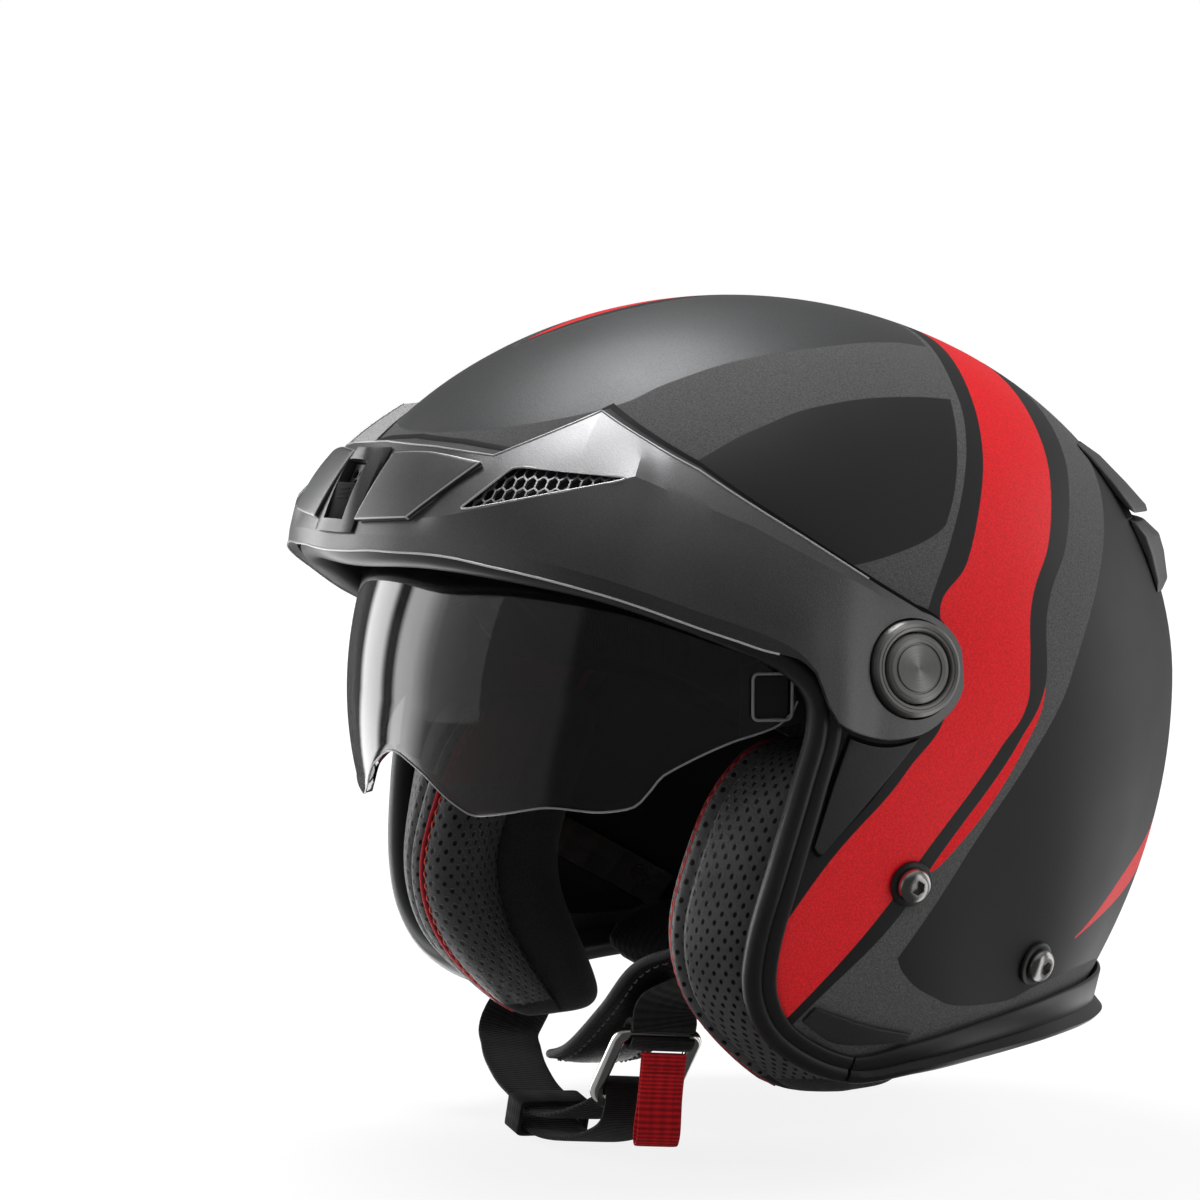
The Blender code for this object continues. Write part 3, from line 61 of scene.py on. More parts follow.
MM = 0.001
WELD = 1e-6
SLOPE_STEP = 0.01 * MM
SEAT_GAP = 0.3 * MM
SHELL_GAP = 0.7 * MM
INNER_GAP = 1.3 * MM
RUN_GAP = 0.4 * MM
SOFT_ANGLE = 60
SIDES = {"left": 1, "right": -1}
X_AXIS = Vector((1, 0, 0))
TUBE_HINT = Vector((0.3, 0.2, 0.93))
CUTTERS = []
MATERIALS = {}

# Outer shell: the half-sizes of the egg that its outside follows, and its edge from brow to neck.
SHELL_HALF_WIDTH = 120 * MM
SHELL_FRONT = 135 * MM
SHELL_REAR = 136 * MM
SHELL_CROWN = 113 * MM
CHEEK_TAPER = 190 * MM
NECK_TAPER = 135 * MM
SHELL_WALL = 4 * MM
SHELL_POLE = Vector((0, 0.5, 0.87)).normalized()
SHELL_EDGE = [
    (0, 43), (15, 43.5), (29, 40.5), (41.5, 35.5), (53.5, 27), (63.5, 18), (68.3, 8.5), (69, -3), (67, -19),
    (64.2, -40), (61.5, -61), (61.3, -76), (65, -88.5), (75, -98), (86, -96.4), (97, -93.6), (108, -91.6),
    (120, -90.4), (135, -90), (150, -90), (165, -90.4), (180, -91),
]
EDGE_CORNER = 13

# Rubber trims that grip the shell's edge
TRIM_LEG = 4.5 * MM
TRIM_LIP = 1.2 * MM
TRIM_BEAD = 4.6 * MM
TRIM_JOINT = 0.02
TRIM_STEPS = 8
BASE_LEG = 9 * MM
BASE_GAP = 1 * MM
BASE_FLARE = 6.5 * MM

# Forehead brow: its rear crest, its crease and its lower edge, and how far each stands off the shell
BROW_WALL = 2.6 * MM
BROW_LIP_DEPTH = 4.4 * MM
BROW_FOOT = 0.6 * MM
BROW_TURNS = [0, 6, 12, 15.5, 19, 22.5, 26, 31, 36, 40, 44.3, 50, 56, 61, 65, 67.5, 69, 70.2, 72, 75, 78]
BROW_END_SHARES = [0.1, 0.25, 0.43, 0.6, 0.74, 0.86, 0.95]
BROW_CREST = [
    (0, 72), (12.3, 71), (22.5, 69), (35.9, 81), (52.7, 65.5), (66.5, 48.4), (77, 34.5), (83, 27),
    (86.5, 20.5), (88, 15.5),
]
BROW_CREASE = [
    (0, 50.5), (15.5, 52), (21.2, 53.5), (32, 58.5), (44.3, 64), (60, 51), (75.3, 34), (81, 24), (86, 15),
    (88, 12.5),
]
BROW_LOW = [
    (0, 45.5), (14.2, 48), (28.9, 43.8), (41.5, 37.7), (53.5, 28.9), (64.4, 19.5), (67.5, 13), (69, 4),
    (70.2, -0.5), (73.2, -3.8), (77.4, -5.8), (81, -5), (84.5, -1.5), (87, 5), (88, 9.5),
]
CREST_RISE = [(0, 7), (12, 6.8), (22.5, 5.8), (36, 4), (50, 3.4), (88, 3.3)]
CREASE_RISE = [(0, 7.4), (15.5, 7.4), (30, 7), (44, 5.6), (60, 5.4), (72, 5), (78, 3.6), (88, 3.3)]
LOW_RISE = [(0, 7), (29, 7), (54, 6.6), (66, 6.2), (71, 5.8), (76, 3.6), (88, 3.3)]
CREASE_RIDGE = [
    (0, 0), (14.5, 0), (20, 1.5), (31, 2.2), (43.6, 2.2), (47.5, 0.7), (60, 0.4), (78, 0), (88, 0),
]
CREST_RIDGE = [(0, 0), (44.3, 0), (49.5, 1.2), (66, 1.2), (76, 0.3), (88, 0)]
LOW_SHIFT = [(0, 1.2), (7, 0.5), (14, -0.8), (24, 0), (88, 0)]
# Radius of the thin light tubes that paint highlight lines on the brow's crest, lip and vent rims and on the
# lens's lower edge, and the turns where the brow's two lines end
EDGE_LINE = 0.32 * MM
EDGE_LAST = 76
LIP_LAST = 64
LIP_SHARE = [(0, 1), (60, 1), (69, 0.1), (88, 0.05)]
# A near-black strip along the foot of the brow's crest paints the shade in the gap there: its section as
# (rise, lift) in mm
GAP_SHADE_PROFILE = [(0, 0.1), (0, 0.55), (1.1, 0.55), (1.3, 0.1)]

# Honeycomb vents in the brow's wings
VENT_CORNERS = [(26.8, 66.4), (21.6, 54.4), (44.2, 63.6)]
VENT_ROUNDING = 0.12
VENT_CUT = (-3 * MM, 18 * MM)
GRILLE_PITCH = 3.4 * MM
GRILLE_WEB = 0.45 * MM
GRILLE_DEPTH = 1.4 * MM
GRILLE_DEGREE = 2.2 * MM
HEXAGON_ROW = 0.866
MESH_PLATE = 0.8 * MM

# Raised panels on the brow's front
BROW_PANEL_WALL = 1.8 * MM
BROW_PANEL_TOP = [(5.6, 69.5), (13, 69.9), (21.9, 67.6)]
BROW_PANEL_FOOT = [(5.2, 51.2), (9.5, 51.8), (14.4, 52.4)]

# Front vent housing, its window and the shutter that slides in it
NOSE_HALF_TURN = 4.6
NOSE_FOOT = 47.5 * MM
NOSE_HEAD = 70.5 * MM
NOSE_RISE = 12 * MM
NOSE_FOOT_RISE = 8.6 * MM
NOSE_WALL = 3.4 * MM
NOSE_TAPER = 0.35
WINDOW_WIDTH = 11 * MM
WINDOW_HEIGHT = 18 * MM
SHUTTER_DEPTH = 1.8 * MM
SHUTTER_TAB = 1.2 * MM
SHUTTER_TRAVEL = 6.5 * MM
SHUTTER_SPARE = 0.2 * MM
SHUTTER_GRIPS = 3
SHUTTER_GRIP = 0.5 * MM

# Visor axis and the turned pivot discs outside the shell. Their profiles are drops from the top in mm, each at
# a reach past the ring's groove in mm or at a share of the cap's radius.
PIVOT_Y = -19.4 * MM
PIVOT_Z = 12.3 * MM
PIVOT = Vector((0, PIVOT_Y, PIVOT_Z))
DISC_RADIUS = 13 * MM
DISC_GAP = 0.7 * MM
DISC_FOOT = 0.7 * MM
DISC_HEIGHT = 6.5 * MM
DISC_RIM = 3 * MM
CAP_GAP = 0.6 * MM
CAP_DROP = 0.5 * MM
DISC_PROFILE = [
    (0.35, 0.95), (0.9, 0.85), (1, 1.15), (1.15, 0.8), (1.9, 0.62), (2.5, 0.95), (2.88, 1.5), (3, 2),
]
CAP_PROFILE = [(0, 0.1), (0.3, 0.07), (0.66, 0.02), (0.68, 0.45), (0.72, 0.45), (0.74, 0.02)]
EYE_REACH = DISC_RADIUS + DISC_GAP + 2 * MM
PIN_FLANGE = 2.2 * MM

# Sun visor: a lens that lies parallel to the shell when it is parked, and the arms that carry it
VISOR_PARK = math.radians(45)
VISOR_CLEARANCE = 4.5 * MM
VISOR_WALL = 2.2 * MM
VISOR_OFFSET = -SHELL_WALL - VISOR_CLEARANCE
VISOR_END = 75.5
VISOR_LOW = [
    (0, -16.1), (7.6, -18.8), (14.6, -24.2), (19, -26.6), (31.3, -27), (43, -31.5), (46.5, -32.3),
    (49.5, -30.6), (53.1, -27.7), (64.2, -25.9), (71, -27.2), (74.2, -24), (75.5, -19),
]
VISOR_TOP = [(0, 17), (45, 18), (58, 16), (66, 9), (72, 3), (75.5, -3)]
ARM_WALL = 2 * MM
CLIP_FROM_END = 5.4 * MM
CLIP_Z = 5 * MM
CLIP_WIDTH = 8 * MM
CLIP_HEIGHT = 11 * MM
CLIP_ROUNDING = 0.16
CLIP_RIM = 0.45 * MM
POCKET_CLEARANCE = 1.2 * MM
POCKET_TOP = math.radians(70)
POCKET_LOW = math.radians(-25)
POCKET_SIDE = math.radians(84)
POCKET_ROUND_AXIS = 16 * MM

# Panels on the shell's cheeks
PANEL_WALL = 1.4 * MM
SIDE_PANEL_FRONT = [(72.2, -5.5), (70, -19), (67.8, -34.5)]
SIDE_PANEL_REAR = [(81.6, -6.5), (75.5, -21), (69, -36.2)]
SIDE_PANEL_SAG = 2.2 * MM
SIDE_PANEL_TIP = 0.9 * MM
SIDE_PANEL_MIDDLE = (72.6, -17)
SIDE_PANEL_GAP = 1.1 * MM
PANEL_ROUNDING = 0.35 * MM
CORNER_PANEL_TOP = [(69, -79.5), (77, -85.5), (84.5, -89.2)]
CORNER_PANEL_FOOT = [(67.2, -83.4), (73, -90.4), (84.2, -91.2)]

# Rear air outlet: two tiers across the back
OUTLET_FIRST = 140
OUTLET_LAST = 220
OUTLET_STEPS = 96
OUTLET_TAPER = 6
UPPER_TIER = [(70, 0.3), (66, 2), (58, 3.6), (51.5, 5.2), (49.6, 4.8), (51, 2.4), (55, 0.3), (62.5, 0.3)]
LOWER_TIER = [(48, 0.3), (47.2, 2.8), (43, 5), (38, 4.4), (30, 2.8), (26.5, 0.3), (37, 0.3)]
# The dark strip between the tiers, which paints the shade in the outlet's slot
OUTLET_GAP = [(54.6, 0.08), (54.6, 0.22), (48.2, 0.22), (48.2, 0.08)]

# Foam liner and comfort pads
FOAM_WALL = 30 * MM
FOAM_EDGE = [
    (0, 52), (30, 50), (50, 42), (62, 33), (72, 20), (80, 4), (92, -3), (110, -12), (135, -40), (160, -64),
    (180, -70),
]
CROWN_PAD_WALL = 7 * MM
CROWN_PAD_GAP = 3 * MM
CROWN_PAD_EDGE = [
    (0, 54), (30, 52), (50, 44), (62, 36), (72, 24), (80, 10), (92, 2), (110, -8), (135, -36), (160, -58),
    (180, -63),
]
QUILT_RADIUS = 62 * MM
QUILT_RINGS = (0.5, 1.15)
QUILT_DEPTH = 2.6 * MM
QUILT_WIDTH = 2.2 * MM
NECK_PAD_RADIUS = 11.5 * MM
NECK_PAD_HEIGHT = -89.5 * MM
NECK_PAD_FIRST = 97.5
NECK_PAD_LAST = 262.5
NECK_PAD_STEPS = 72
NECK_PAD_QUILTS = 9
CHEEK_LEVELS = [-8, -12, -24, -40, -56, -70, -84, -97, -105, -109]
CHEEK_SHARE = [0.55, 0.86, 1, 1, 1, 1, 1, 0.88, 0.72, 0.46]
CHEEK_SEAM = [
    (-110, -41), (-97, -49.5), (-85, -58), (-70, -65), (-56, -66), (-40, -60), (-24, -53), (-8, -43),
]
CHEEK_EDGE = [
    (-110, 79), (-104, 77), (-98, 75), (-88.5, 65.5), (-76, 62), (-61, 62), (-40, 64.7), (-19, 67.5),
    (-3, 69.5),
]
CHEEK_PLAN = [(-0.5, 1.5), (-2.5, 9), (-2.5, 18), (1.5, 26), (-1, 35), (3, 47), (14, 56)]
CHEEK_SEAM_X = 68 * MM
CHEEK_BACK_CLEARANCE = 6.2 * MM
CHEEK_ROLL = 7 * MM
CHEEK_BACK = (54 * MM, 36 * MM)

# Strap screws and the bars they hold inside the shell
SCREW_PLACES = {"front": (81.7, -46), "rear": (106.8, -73)}
SCREW_HEAD_RADIUS = 4.9 * MM
SCREW_HEAD_HEIGHT = 2.8 * MM
SCREW_SOCKET = 2.1 * MM
SCREW_SOCKET_DEPTH = 1.8 * MM
SCREW_CHAMFER = 0.2 * MM
SCREW_RADIUS = 2.5 * MM
WASHER_RADIUS = 6.4 * MM
WASHER_HEIGHT = 1.3 * MM
WASHER_PROFILE = [(1.3, 0), (0.6, 0.08), (0.15, 0.4)]
SCREW_PROFILE = [(0, 0), (0.56, 0), (0.64, 0.12), (0.8, 0.5), (0.92, 1.05), (1, 1.9)]
BAR_WALL = 2 * MM

# Chin strap: routes are lists of points in millimetres
STRAP_WIDTH = 19 * MM
STRAP_WALL = 1.6 * MM
RING_BAR = Vector((36, -47, -96)) * MM
RING_REACH = 31 * MM
RING_HALF_WIDTH = 11.6 * MM
RING_CORNER = 8 * MM
RING_WIRE = 2 * MM
RING_FALL = Vector((-0.66, 0.06, -0.75)).normalized()
RING_ACROSS_HINT = Vector((-0.2, -0.97, 0.1))
RING_TURN = [(5, -4.8), (-4.4, -5), (-8.4, 0), (-4.4, 5), (5, 5)]
LOOP_RADIUS = RING_WIRE + 3 * RUN_GAP + STRAP_WALL / 2
STRAP_OFFSET = -SHELL_WALL - INNER_GAP - BAR_WALL - 3 * SEAT_GAP - STRAP_WALL / 2
STRAP_TURN = 82
LEFT_PLACES = [(82, -40, 0), (82, -48, 0), (80.1, -56, 0.9), (78.1, -62, 5), (73.8, -66.5, 12.3)]
LEFT_ROUTE = [(77, -32, -70), (66, -38.5, -74)]
RIGHT_HEIGHTS = [-42, -58, -74, -90, -100]
RIGHT_ROUTE = [(-87, -25, -113), (-76, -31, -118), (-60, -38, -121), (-40, -44, -124.5), (-16, -46, -128)]
TAIL_ROUTE = [(-2, -46, -132.5), (-20, -46, -134), (-38, -45, -129.5)]
COVER_ROUTE = [
    (56.4, -45, -72), (45.6, -48.9, -77.2), (29.6, -48.7, -90.2), (7.5, -47.5, -104.6),
    (-16, -43.5, -110.5),
]
COVER_WIDTH = 27 * MM
COVER_WALL = 5 * MM
COVER_BINDING = 1.3 * MM
COVER_STITCH_INSET = 2.6 * MM
COVER_STITCH_RISE = 1.55 * MM
KEEPER_WIDTH = 9 * MM
KEEPER_WALL = 1.2 * MM
KEEPER_GAP = 0.9 * MM
KEEPER_POSITION = 3.5
KEEPER_ROUNDING = 0.12
TAB_WIDTH = 13 * MM
TAB_LENGTH = 27 * MM
TAB_FOLD = 1.4 * MM
TAB_WALL = 0.9 * MM
TAB_SEAMS = (4 * MM, 6 * MM)

# Camera: the photograph's view, in pixels of a square picture
PICTURE = 1200
CAMERA_TURN = 57
CAMERA_LIFT = 5
CAMERA_REACH = 1.2
CAMERA_FOCAL = 4070
CAMERA_CENTRE = (729.5, 679.5)
CAMERA_SENSOR = 36

# Stage: lamps as places to the camera's right, up and back, with their widths, heights and powers
LAMPS = {
    "key": (-0.22, 1.24, -0.33, 0.6, 0.6, 12.0),
    "side": (-1.25, 0.1, 0.1, 0.5, 1.1, 6.0),
    "rim": (1.2, 0.4, -0.55, 0.4, 0.9, 4.0),
    "fill": (1.1, 0.9, 0.7, 0.8, 0.8, 8.0),
}
AMBIENT = 0.17
FLOOR_REACH = 6.0
FLOOR_FADE = (0.2, 1.1, 0.74, 0.97)
FLOOR_GLOW = 1.15

# Dark studio tent that only reflections see: how bright it is at each turn, up to a height
TENT_REACH = 2.2
TENT_LOW = -3.5
TENT_HIGH = 89
TENT_BAND = (22, 36)
TENT_DARK = 0.03
TENT_GLOW = 4
TENT_STRIPS = [
    (-180, 0.3), (-166, 0.08), (-120, 0.02), (-84, 0.01), (-80, 1), (-67, 1), (-64, 0.01), (-59, 0.01),
    (-56, 1), (-48, 1), (-38, 0.16), (-26, 0.08), (10, 0.06), (13, 0.005), (100, 0.005), (110, 0.26),
    (122, 0.26), (132, 0.03), (150, 0.08), (162, 0.35), (180, 0.3),
]
TENT_ROOF = (24, 75)
TENT_ROOF_GLOW = 0.4

# Colours that are used or mixed in more than one place
CHARCOAL = (0.072, 0.073, 0.075)
BLACK = (0.019, 0.0192, 0.0198)
GREY = (0.09, 0.09, 0.0895)
RED = (0.84, 0.012, 0.018)
TURNED_DARK = (0.27, 0.267, 0.264)
TURNED_LIGHT = (0.46, 0.454, 0.448)
LENS_DARK = (0.1, 0.1, 0.105)
LENS_LIGHT = (0.12, 0.12, 0.125)
# The foam's two tones: its beads, and the painted shade in the hollows between them
FOAM_LIGHT = (0.008, 0.008, 0.008)
FOAM_DARK = (0.004, 0.004, 0.004)

# Paint: stripe edges in millimetres, as (height, place along Y), as (place along Y, height) or, for the
# stripe on the crown and its edging, as (place along Y, place to the right)
STEP_SOFT = 0.12 * MM
CURVE_MARGIN = 5
PAINT_HEIGHTS = (-100, 115)
PAINT_DEPTHS = (-140, 140)
PATCH_FOOT = 14 * MM
FLASH_FRONT = 51 * MM
RED_FRONT = [
    (-95, -75), (-63.5, -55.4), (-38.6, -40.5), (-15.3, -20.2), (4, -8), (25, -8), (39.8, 4), (53.7, 13.4),
    (66.9, 22.3), (76.3, 28), (88.6, 35.6), (98.9, 43.5), (110, 52),
]
RED_REAR = [
    (-95, -56), (-82.7, -46.8), (-51.6, -22.8), (-39.9, -14.7), (-10.7, 10.1), (2, 20.3), (12.1, 21.5),
    (27, 24.2), (43.7, 36.6), (57, 45.3), (67.2, 51.5), (78.7, 56.9), (88.2, 61.5), (105, 68),
]
LINE_REAR = [
    (-95, -52), (-80.7, -41.9), (-54.6, -18.8), (-40.5, -9.6), (-8.7, 17.5), (4, 26.5), (25.3, 30.3),
    (43.4, 44.6), (56.7, 54.5), (65.8, 61.4), (76.3, 67.5), (88, 73), (105, 80),
]
SPARK_REAR = [
    (-95, -60), (-46, -18), (-43, -10), (-40.5, -6.6), (-8.7, 20.7), (1, 26.2), (6, 27), (10, 25),
    (110, 60),
]
GREY_REAR = [
    (-95, -38), (-67, -18), (-53.4, -8.8), (-34.3, 4.3), (-14.5, 21.1), (1.5, 34.2), (13.2, 41.4),
    (31.3, 54.7), (47.5, 67.9), (55.8, 74.5), (67.2, 82), (80, 88), (105, 98),
]
THIN_FRONT = [
    (0, -30), (40, -7.5), (50, 0.3), (58.1, 6.5), (72.2, 15.8), (83.5, 22.9), (93.1, 29.5), (101, 35.9),
    (110, 43),
]
THIN_REAR = [
    (0, -24), (27.3, -11.9), (45, -0.2), (58.1, 9.3), (71, 18.5), (80.5, 24.7), (89.8, 29.8), (101, 38.5),
    (110, 46),
]
BAND_TOP = [
    (-120, 70), (-73, 81.6), (-53.7, 89.1), (-30.5, 95.1), (-4.7, 98.3), (15.9, 99.3), (31.1, 98.2),
    (60, 92),
]
BAND_FOOT = [
    (-110, 42), (-77.2, 60.1), (-61.2, 68), (-41.8, 76.6), (-19.1, 82.6), (3.9, 84.3), (22, 83.5), (60, 78),
]
PATCH_TOP = [(-60, 36), (-29, 40.4), (-16.6, 43.3), (-6.1, 46.7), (0.3, 50), (20, 64)]
LOW_TOP = [
    (-60, -62), (-24, -62), (-18, -67), (-15.8, -70.9), (-4.4, -79), (7.1, -82.7), (20.4, -83.1),
    (35, -80.5), (61.9, -77.9), (90, -84), (135, -94),
]
FLASH_FOOT = [(0, -90), (51, -68.5), (80, -58.5), (110, -48)]
FLASH_TOP = [(0, -90), (51, -68), (80, -50), (110, -36)]
STRIPE_INNER = [(-100, 40), (-62, 12), (-46, 5), (-22, 2), (20, 3), (80, 4)]
STRIPE_OUTER = [(-100, 10), (-62, 12), (-46, 15), (-22, 19), (20, 23), (80, 26)]
EDGING_INNER = [(-100, 40), (-66, 12), (-46, 0), (-22, -5), (20, -5), (80, -5)]
EDGING_OUTER = [(-100, 10), (-66, 12), (-46, 20), (-22, 26), (20, 31), (80, 35)]
EDGING_LINE = 1.4 * MM

# Stitches: their length, the gap between them and the radius of their thread
CHEEK_STITCH = (2.3 * MM, 1.5 * MM, 0.3 * MM)
COVER_STITCH = (2 * MM, 1.4 * MM, 0.25 * MM)
TAB_STITCH = (1.6 * MM, 0.5 * MM, 0.22 * MM)

# Cheek pads' covers: places round a pad's section where they stand out, are sewn down or change
PAD_LOBES = [(-0.2, 2.05, 1.0), (2.05, 2.7, 0.5), (2.7, 4.6, 1.4), (2.7, 6, 1.4), (6, 8.8, 1.2)]
PAD_SEAMS = [(2.05, 1.4, 0.12), (2.7, 0.8, 0.09), (6, 1.6, 0.16)]
PAD_FABRIC_FROM = 6
PIPING_PLACE = 2.68
STITCH_PLACE = 2.86
PIPING_RADIUS = 0.75 * MM
PIPING_RISE = 0.2 * MM
RED_PATCH = (2.7, 6, 2.6)
PAD_FABRIC_UNDER = -103 * MM
PAD_WIDEST = 4
PAD_HEIGHT = 98 * MM
PAD_SEAM_ENDS = (0.9, 8.3)


# Shell surface

def level_share(x, y, offset):
    depth = (SHELL_FRONT if y < 0 else SHELL_REAR) + offset
    return (x / (SHELL_HALF_WIDTH + offset)) ** 2 + (y / depth) ** 2


def height_share(x, y, z, offset):
    if z >= 0:
        return (z / (SHELL_CROWN + offset)) ** 2
    side = (z / (CHEEK_TAPER + offset)) ** 2
    neck = (z / (NECK_TAPER + offset)) ** 2
    rearward = max(y, 0) ** 2 / max(x * x + y * y, WELD**2)
    return side + rearward * (neck - side)


def fullness(point, offset=0.0):
    """1 for a point on the shell grown by offset, and more for one outside it."""
    return level_share(point.x, point.y, offset) + height_share(*point, offset)


def skin(turn, height, offset=0.0):
    """The point of the shell, grown by offset, at a turn in degrees and a height."""
    x = math.sin(math.radians(turn))
    y = -math.cos(math.radians(turn))
    reach = math.sqrt((1 - height_share(x, y, height, offset)) / level_share(x, y, offset))
    return Vector((x * reach, y * reach, height))


def toward(direction, offset=0.0):
    """Where a line from the origin meets the shell grown by offset."""
    return direction / math.sqrt(fullness(direction, offset))


def beside(y, z, offset, side):
    """The point of the shell, grown by offset, at one side of a place in the side view."""
    flat = level_share(0, y, offset) + height_share(1, 0, z, offset)
    return Vector((side * (SHELL_HALF_WIDTH + offset) * math.sqrt(1 - flat), y, z))


def outward(point):
    """The shell's outward direction at a point on it."""

    def near(axis, step):
        probe = point.copy()
        probe[axis] += step
        return fullness(probe)

    return Vector([near(axis, SLOPE_STEP) - near(axis, -SLOPE_STEP) for axis in range(3)]).normalized()


def pivot_on(side, offset=0.0):
    return beside(PIVOT_Y, PIVOT_Z, offset, side)


# Curves and bodies

def square_to(direction, ahead):
    """The part of a direction that is square to another, at length 1."""
    return (direction - ahead * direction.dot(ahead)).normalized()


def circle(count, start=0.0):
    """Cosines and sines of even steps round a circle."""
    angles = [math.tau * (k + start) / count for k in range(count)]
    return [(math.cos(angle), math.sin(angle)) for angle in angles]


def swollen(value, power):
    """A power of a value between -1 and 1 that keeps its sign."""
    return math.copysign(abs(value) ** power, value)


def spline(points, position, closed=False):
    """A smooth curve through points. Position counts them, so 1.5 lies between the second and the third."""
    count = len(points)
    first = math.floor(position)
    if not closed:
        first = min(max(first, 0), count - 2)

    def point(index):
        if closed:
            return points[index % count]
        if index < 0:
            return 2 * points[0] - points[1]
        if index >= count:
            return 2 * points[-1] - points[-2]
        return points[index]

    a, b, c, d = (point(first + step) for step in (-1, 0, 1, 2))
    share = position - first
    bend = (2 * a - 5 * b + 4 * c - d) * share**2 + (3 * b - a - 3 * c + d) * share**3
    return b + 0.5 * ((c - a) * share + bend)


def heading(route, position):
    return (spline(route, position + 0.02) - spline(route, position - 0.02)).normalized()


def follow(points, x, sharp=False):
    """A curve y(x) through points in order of x: straight between them if sharp, and otherwise smooth."""
    if x <= points[0][0]:
        return points[0][1]
    if x >= points[-1][0]:
        return points[-1][1]
    index = max(i for i, point in enumerate(points) if point[0] <= x)
    (x0, y0), (x1, y1) = points[index], points[index + 1]
    span = x1 - x0
    share = (x - x0) / span
    if sharp:
        return y0 + (y1 - y0) * share

    def grade(i):
        if i in (0, len(points) - 1):
            return 0.0
        before = (points[i][1] - points[i - 1][1]) / (points[i][0] - points[i - 1][0])
        after = (points[i + 1][1] - points[i][1]) / (points[i + 1][0] - points[i][0])
        return 2 * before * after / (before + after) if before * after > 0 else 0.0

    near = y0 * (1 + 2 * share) * (1 - share) ** 2 + grade(index) * span * share * (1 - share) ** 2
    far = y1 * share**2 * (3 - 2 * share) - grade(index + 1) * span * share**2 * (1 - share)
    return near + far


def run_lengths(points):
    """How far along a path each of its points lies."""
    runs = [0.0]
    for a, b in zip(points, points[1:]):
        runs.append(runs[-1] + (b - a).length)
    return runs


def rounded(corners, share, steps):
    """A closed outline with each corner rounded over a share of its two edges."""
    points = []
    for i in range(len(corners)):
        before, corner, after = (Vector(corners[(i + step) % len(corners)]) for step in (-1, 0, 1))
        start = corner.lerp(before, share)
        end = corner.lerp(after, share)
        for step in range(steps + 1):
            t = step / steps
            points.append(start * (1 - t) ** 2 + corner * 2 * t * (1 - t) + end * t**2)
    return points


def between(first, second, u, v):
    """A place on the ruled patch between two smooth edges: u runs along them and v from one to the other."""
    a, b = (spline([Vector(point) for point in edge], u * (len(edge) - 1)) for edge in (first, second))
    return a.lerp(b, v)


def sheet(rows, columns, place):
    """A grid bent by place(row share, column share), welded where its borders meet."""
    grid = bmesh.new()
    layer = grid.loops.layers.uv.new("shares")
    bmesh.ops.create_grid(grid, x_segments=rows, y_segments=columns, size=0.5)
    for face in grid.faces:
        for corner in face.loops:
            corner[layer].uv = (corner.vert.co.x + 0.5, corner.vert.co.y + 0.5)
    for vert in grid.verts:
        vert.co = place(vert.co.x + 0.5, vert.co.y + 0.5)
    bmesh.ops.remove_doubles(grid, verts=grid.verts, dist=WELD)
    return grid


def face_outward(grid):
    """Turns an open sheet's faces away from the origin."""
    bmesh.ops.recalc_face_normals(grid, faces=grid.faces)
    if sum(face.normal.dot(face.calc_center_median()) for face in grid.faces) < 0:
        bmesh.ops.reverse_faces(grid, faces=grid.faces)
    return grid


def loft(sections, closed_path=False):
    """A closed body through sections, each a ring of as many points."""
    rings = len(sections)
    count = len(sections[0])
    spans = rings if closed_path else rings - 1
    body = sheet(spans, count, lambda u, v: sections[round(u * spans) % rings][round(v * count) % count])
    bmesh.ops.holes_fill(body, edges=[edge for edge in body.edges if edge.is_boundary], sides=0)
    bmesh.ops.recalc_face_normals(body, faces=body.faces)
    return body


def tube(points, radius, sides=8, closed=False, hint=TUBE_HINT):
    """A round bar along points; hint is a direction that its first side keeps to."""
    count = len(points)
    sections = []
    for i, here in enumerate(points):
        before = points[i - 1] if closed or i else here
        after = points[(i + 1) % count] if closed or i < count - 1 else here
        ahead = (after - before).normalized()
        hint = square_to(hint, ahead)
        other = ahead.cross(hint)
        sections.append([here + (hint * a + other * b) * radius for a, b in circle(sides)])
    return loft(sections, closed)


def axis_turn(axis):
    """Turns +Z to an axis."""
    return axis.to_track_quat("Z", "Y").to_matrix().to_4x4()


def peg(body, origin, axis, radius, low, high, sides):
    """Adds a cylinder along an axis, between two distances from its origin, to a bmesh."""
    place = Matrix.Translation(origin + axis * (low + high) / 2) @ axis_turn(axis)
    bmesh.ops.create_cone(
        body, cap_ends=True, segments=sides, radius1=radius, radius2=radius, depth=high - low, matrix=place
    )
    return body


def block(body, place, *sizes):
    """Adds a box with its middle at a place to a bmesh."""
    bmesh.ops.create_cube(body, size=1.0, matrix=place @ Matrix.Diagonal((*sizes, 1)))
    return body


def stitch_row(path, length, gap, radius):
    """Thread stitches along a path of (point, normal) pairs, as one body."""
    body = bmesh.new()
    marks = run_lengths([point for point, _ in path])

    def at(distance):
        index = max(i for i, mark in enumerate(marks[:-1]) if mark <= distance)
        share = (distance - marks[index]) / max(marks[index + 1] - marks[index], WELD)
        point, normal = (a.lerp(b, share) for a, b in zip(path[index], path[index + 1]))
        return point, normal.normalized()

    start = gap
    while start + length < marks[-1]:
        points = []
        for share in (0, 0.25, 0.5, 0.75, 1):
            point, normal = at(start + length * share)
            points.append(point + normal * radius * (1.5 * math.sin(math.pi * share) - 0.5))
        mesh = new_mesh("thread", tube(points, radius, 6))
        body.from_mesh(mesh)
        bpy.data.meshes.remove(mesh)
        start += length + gap
    return body


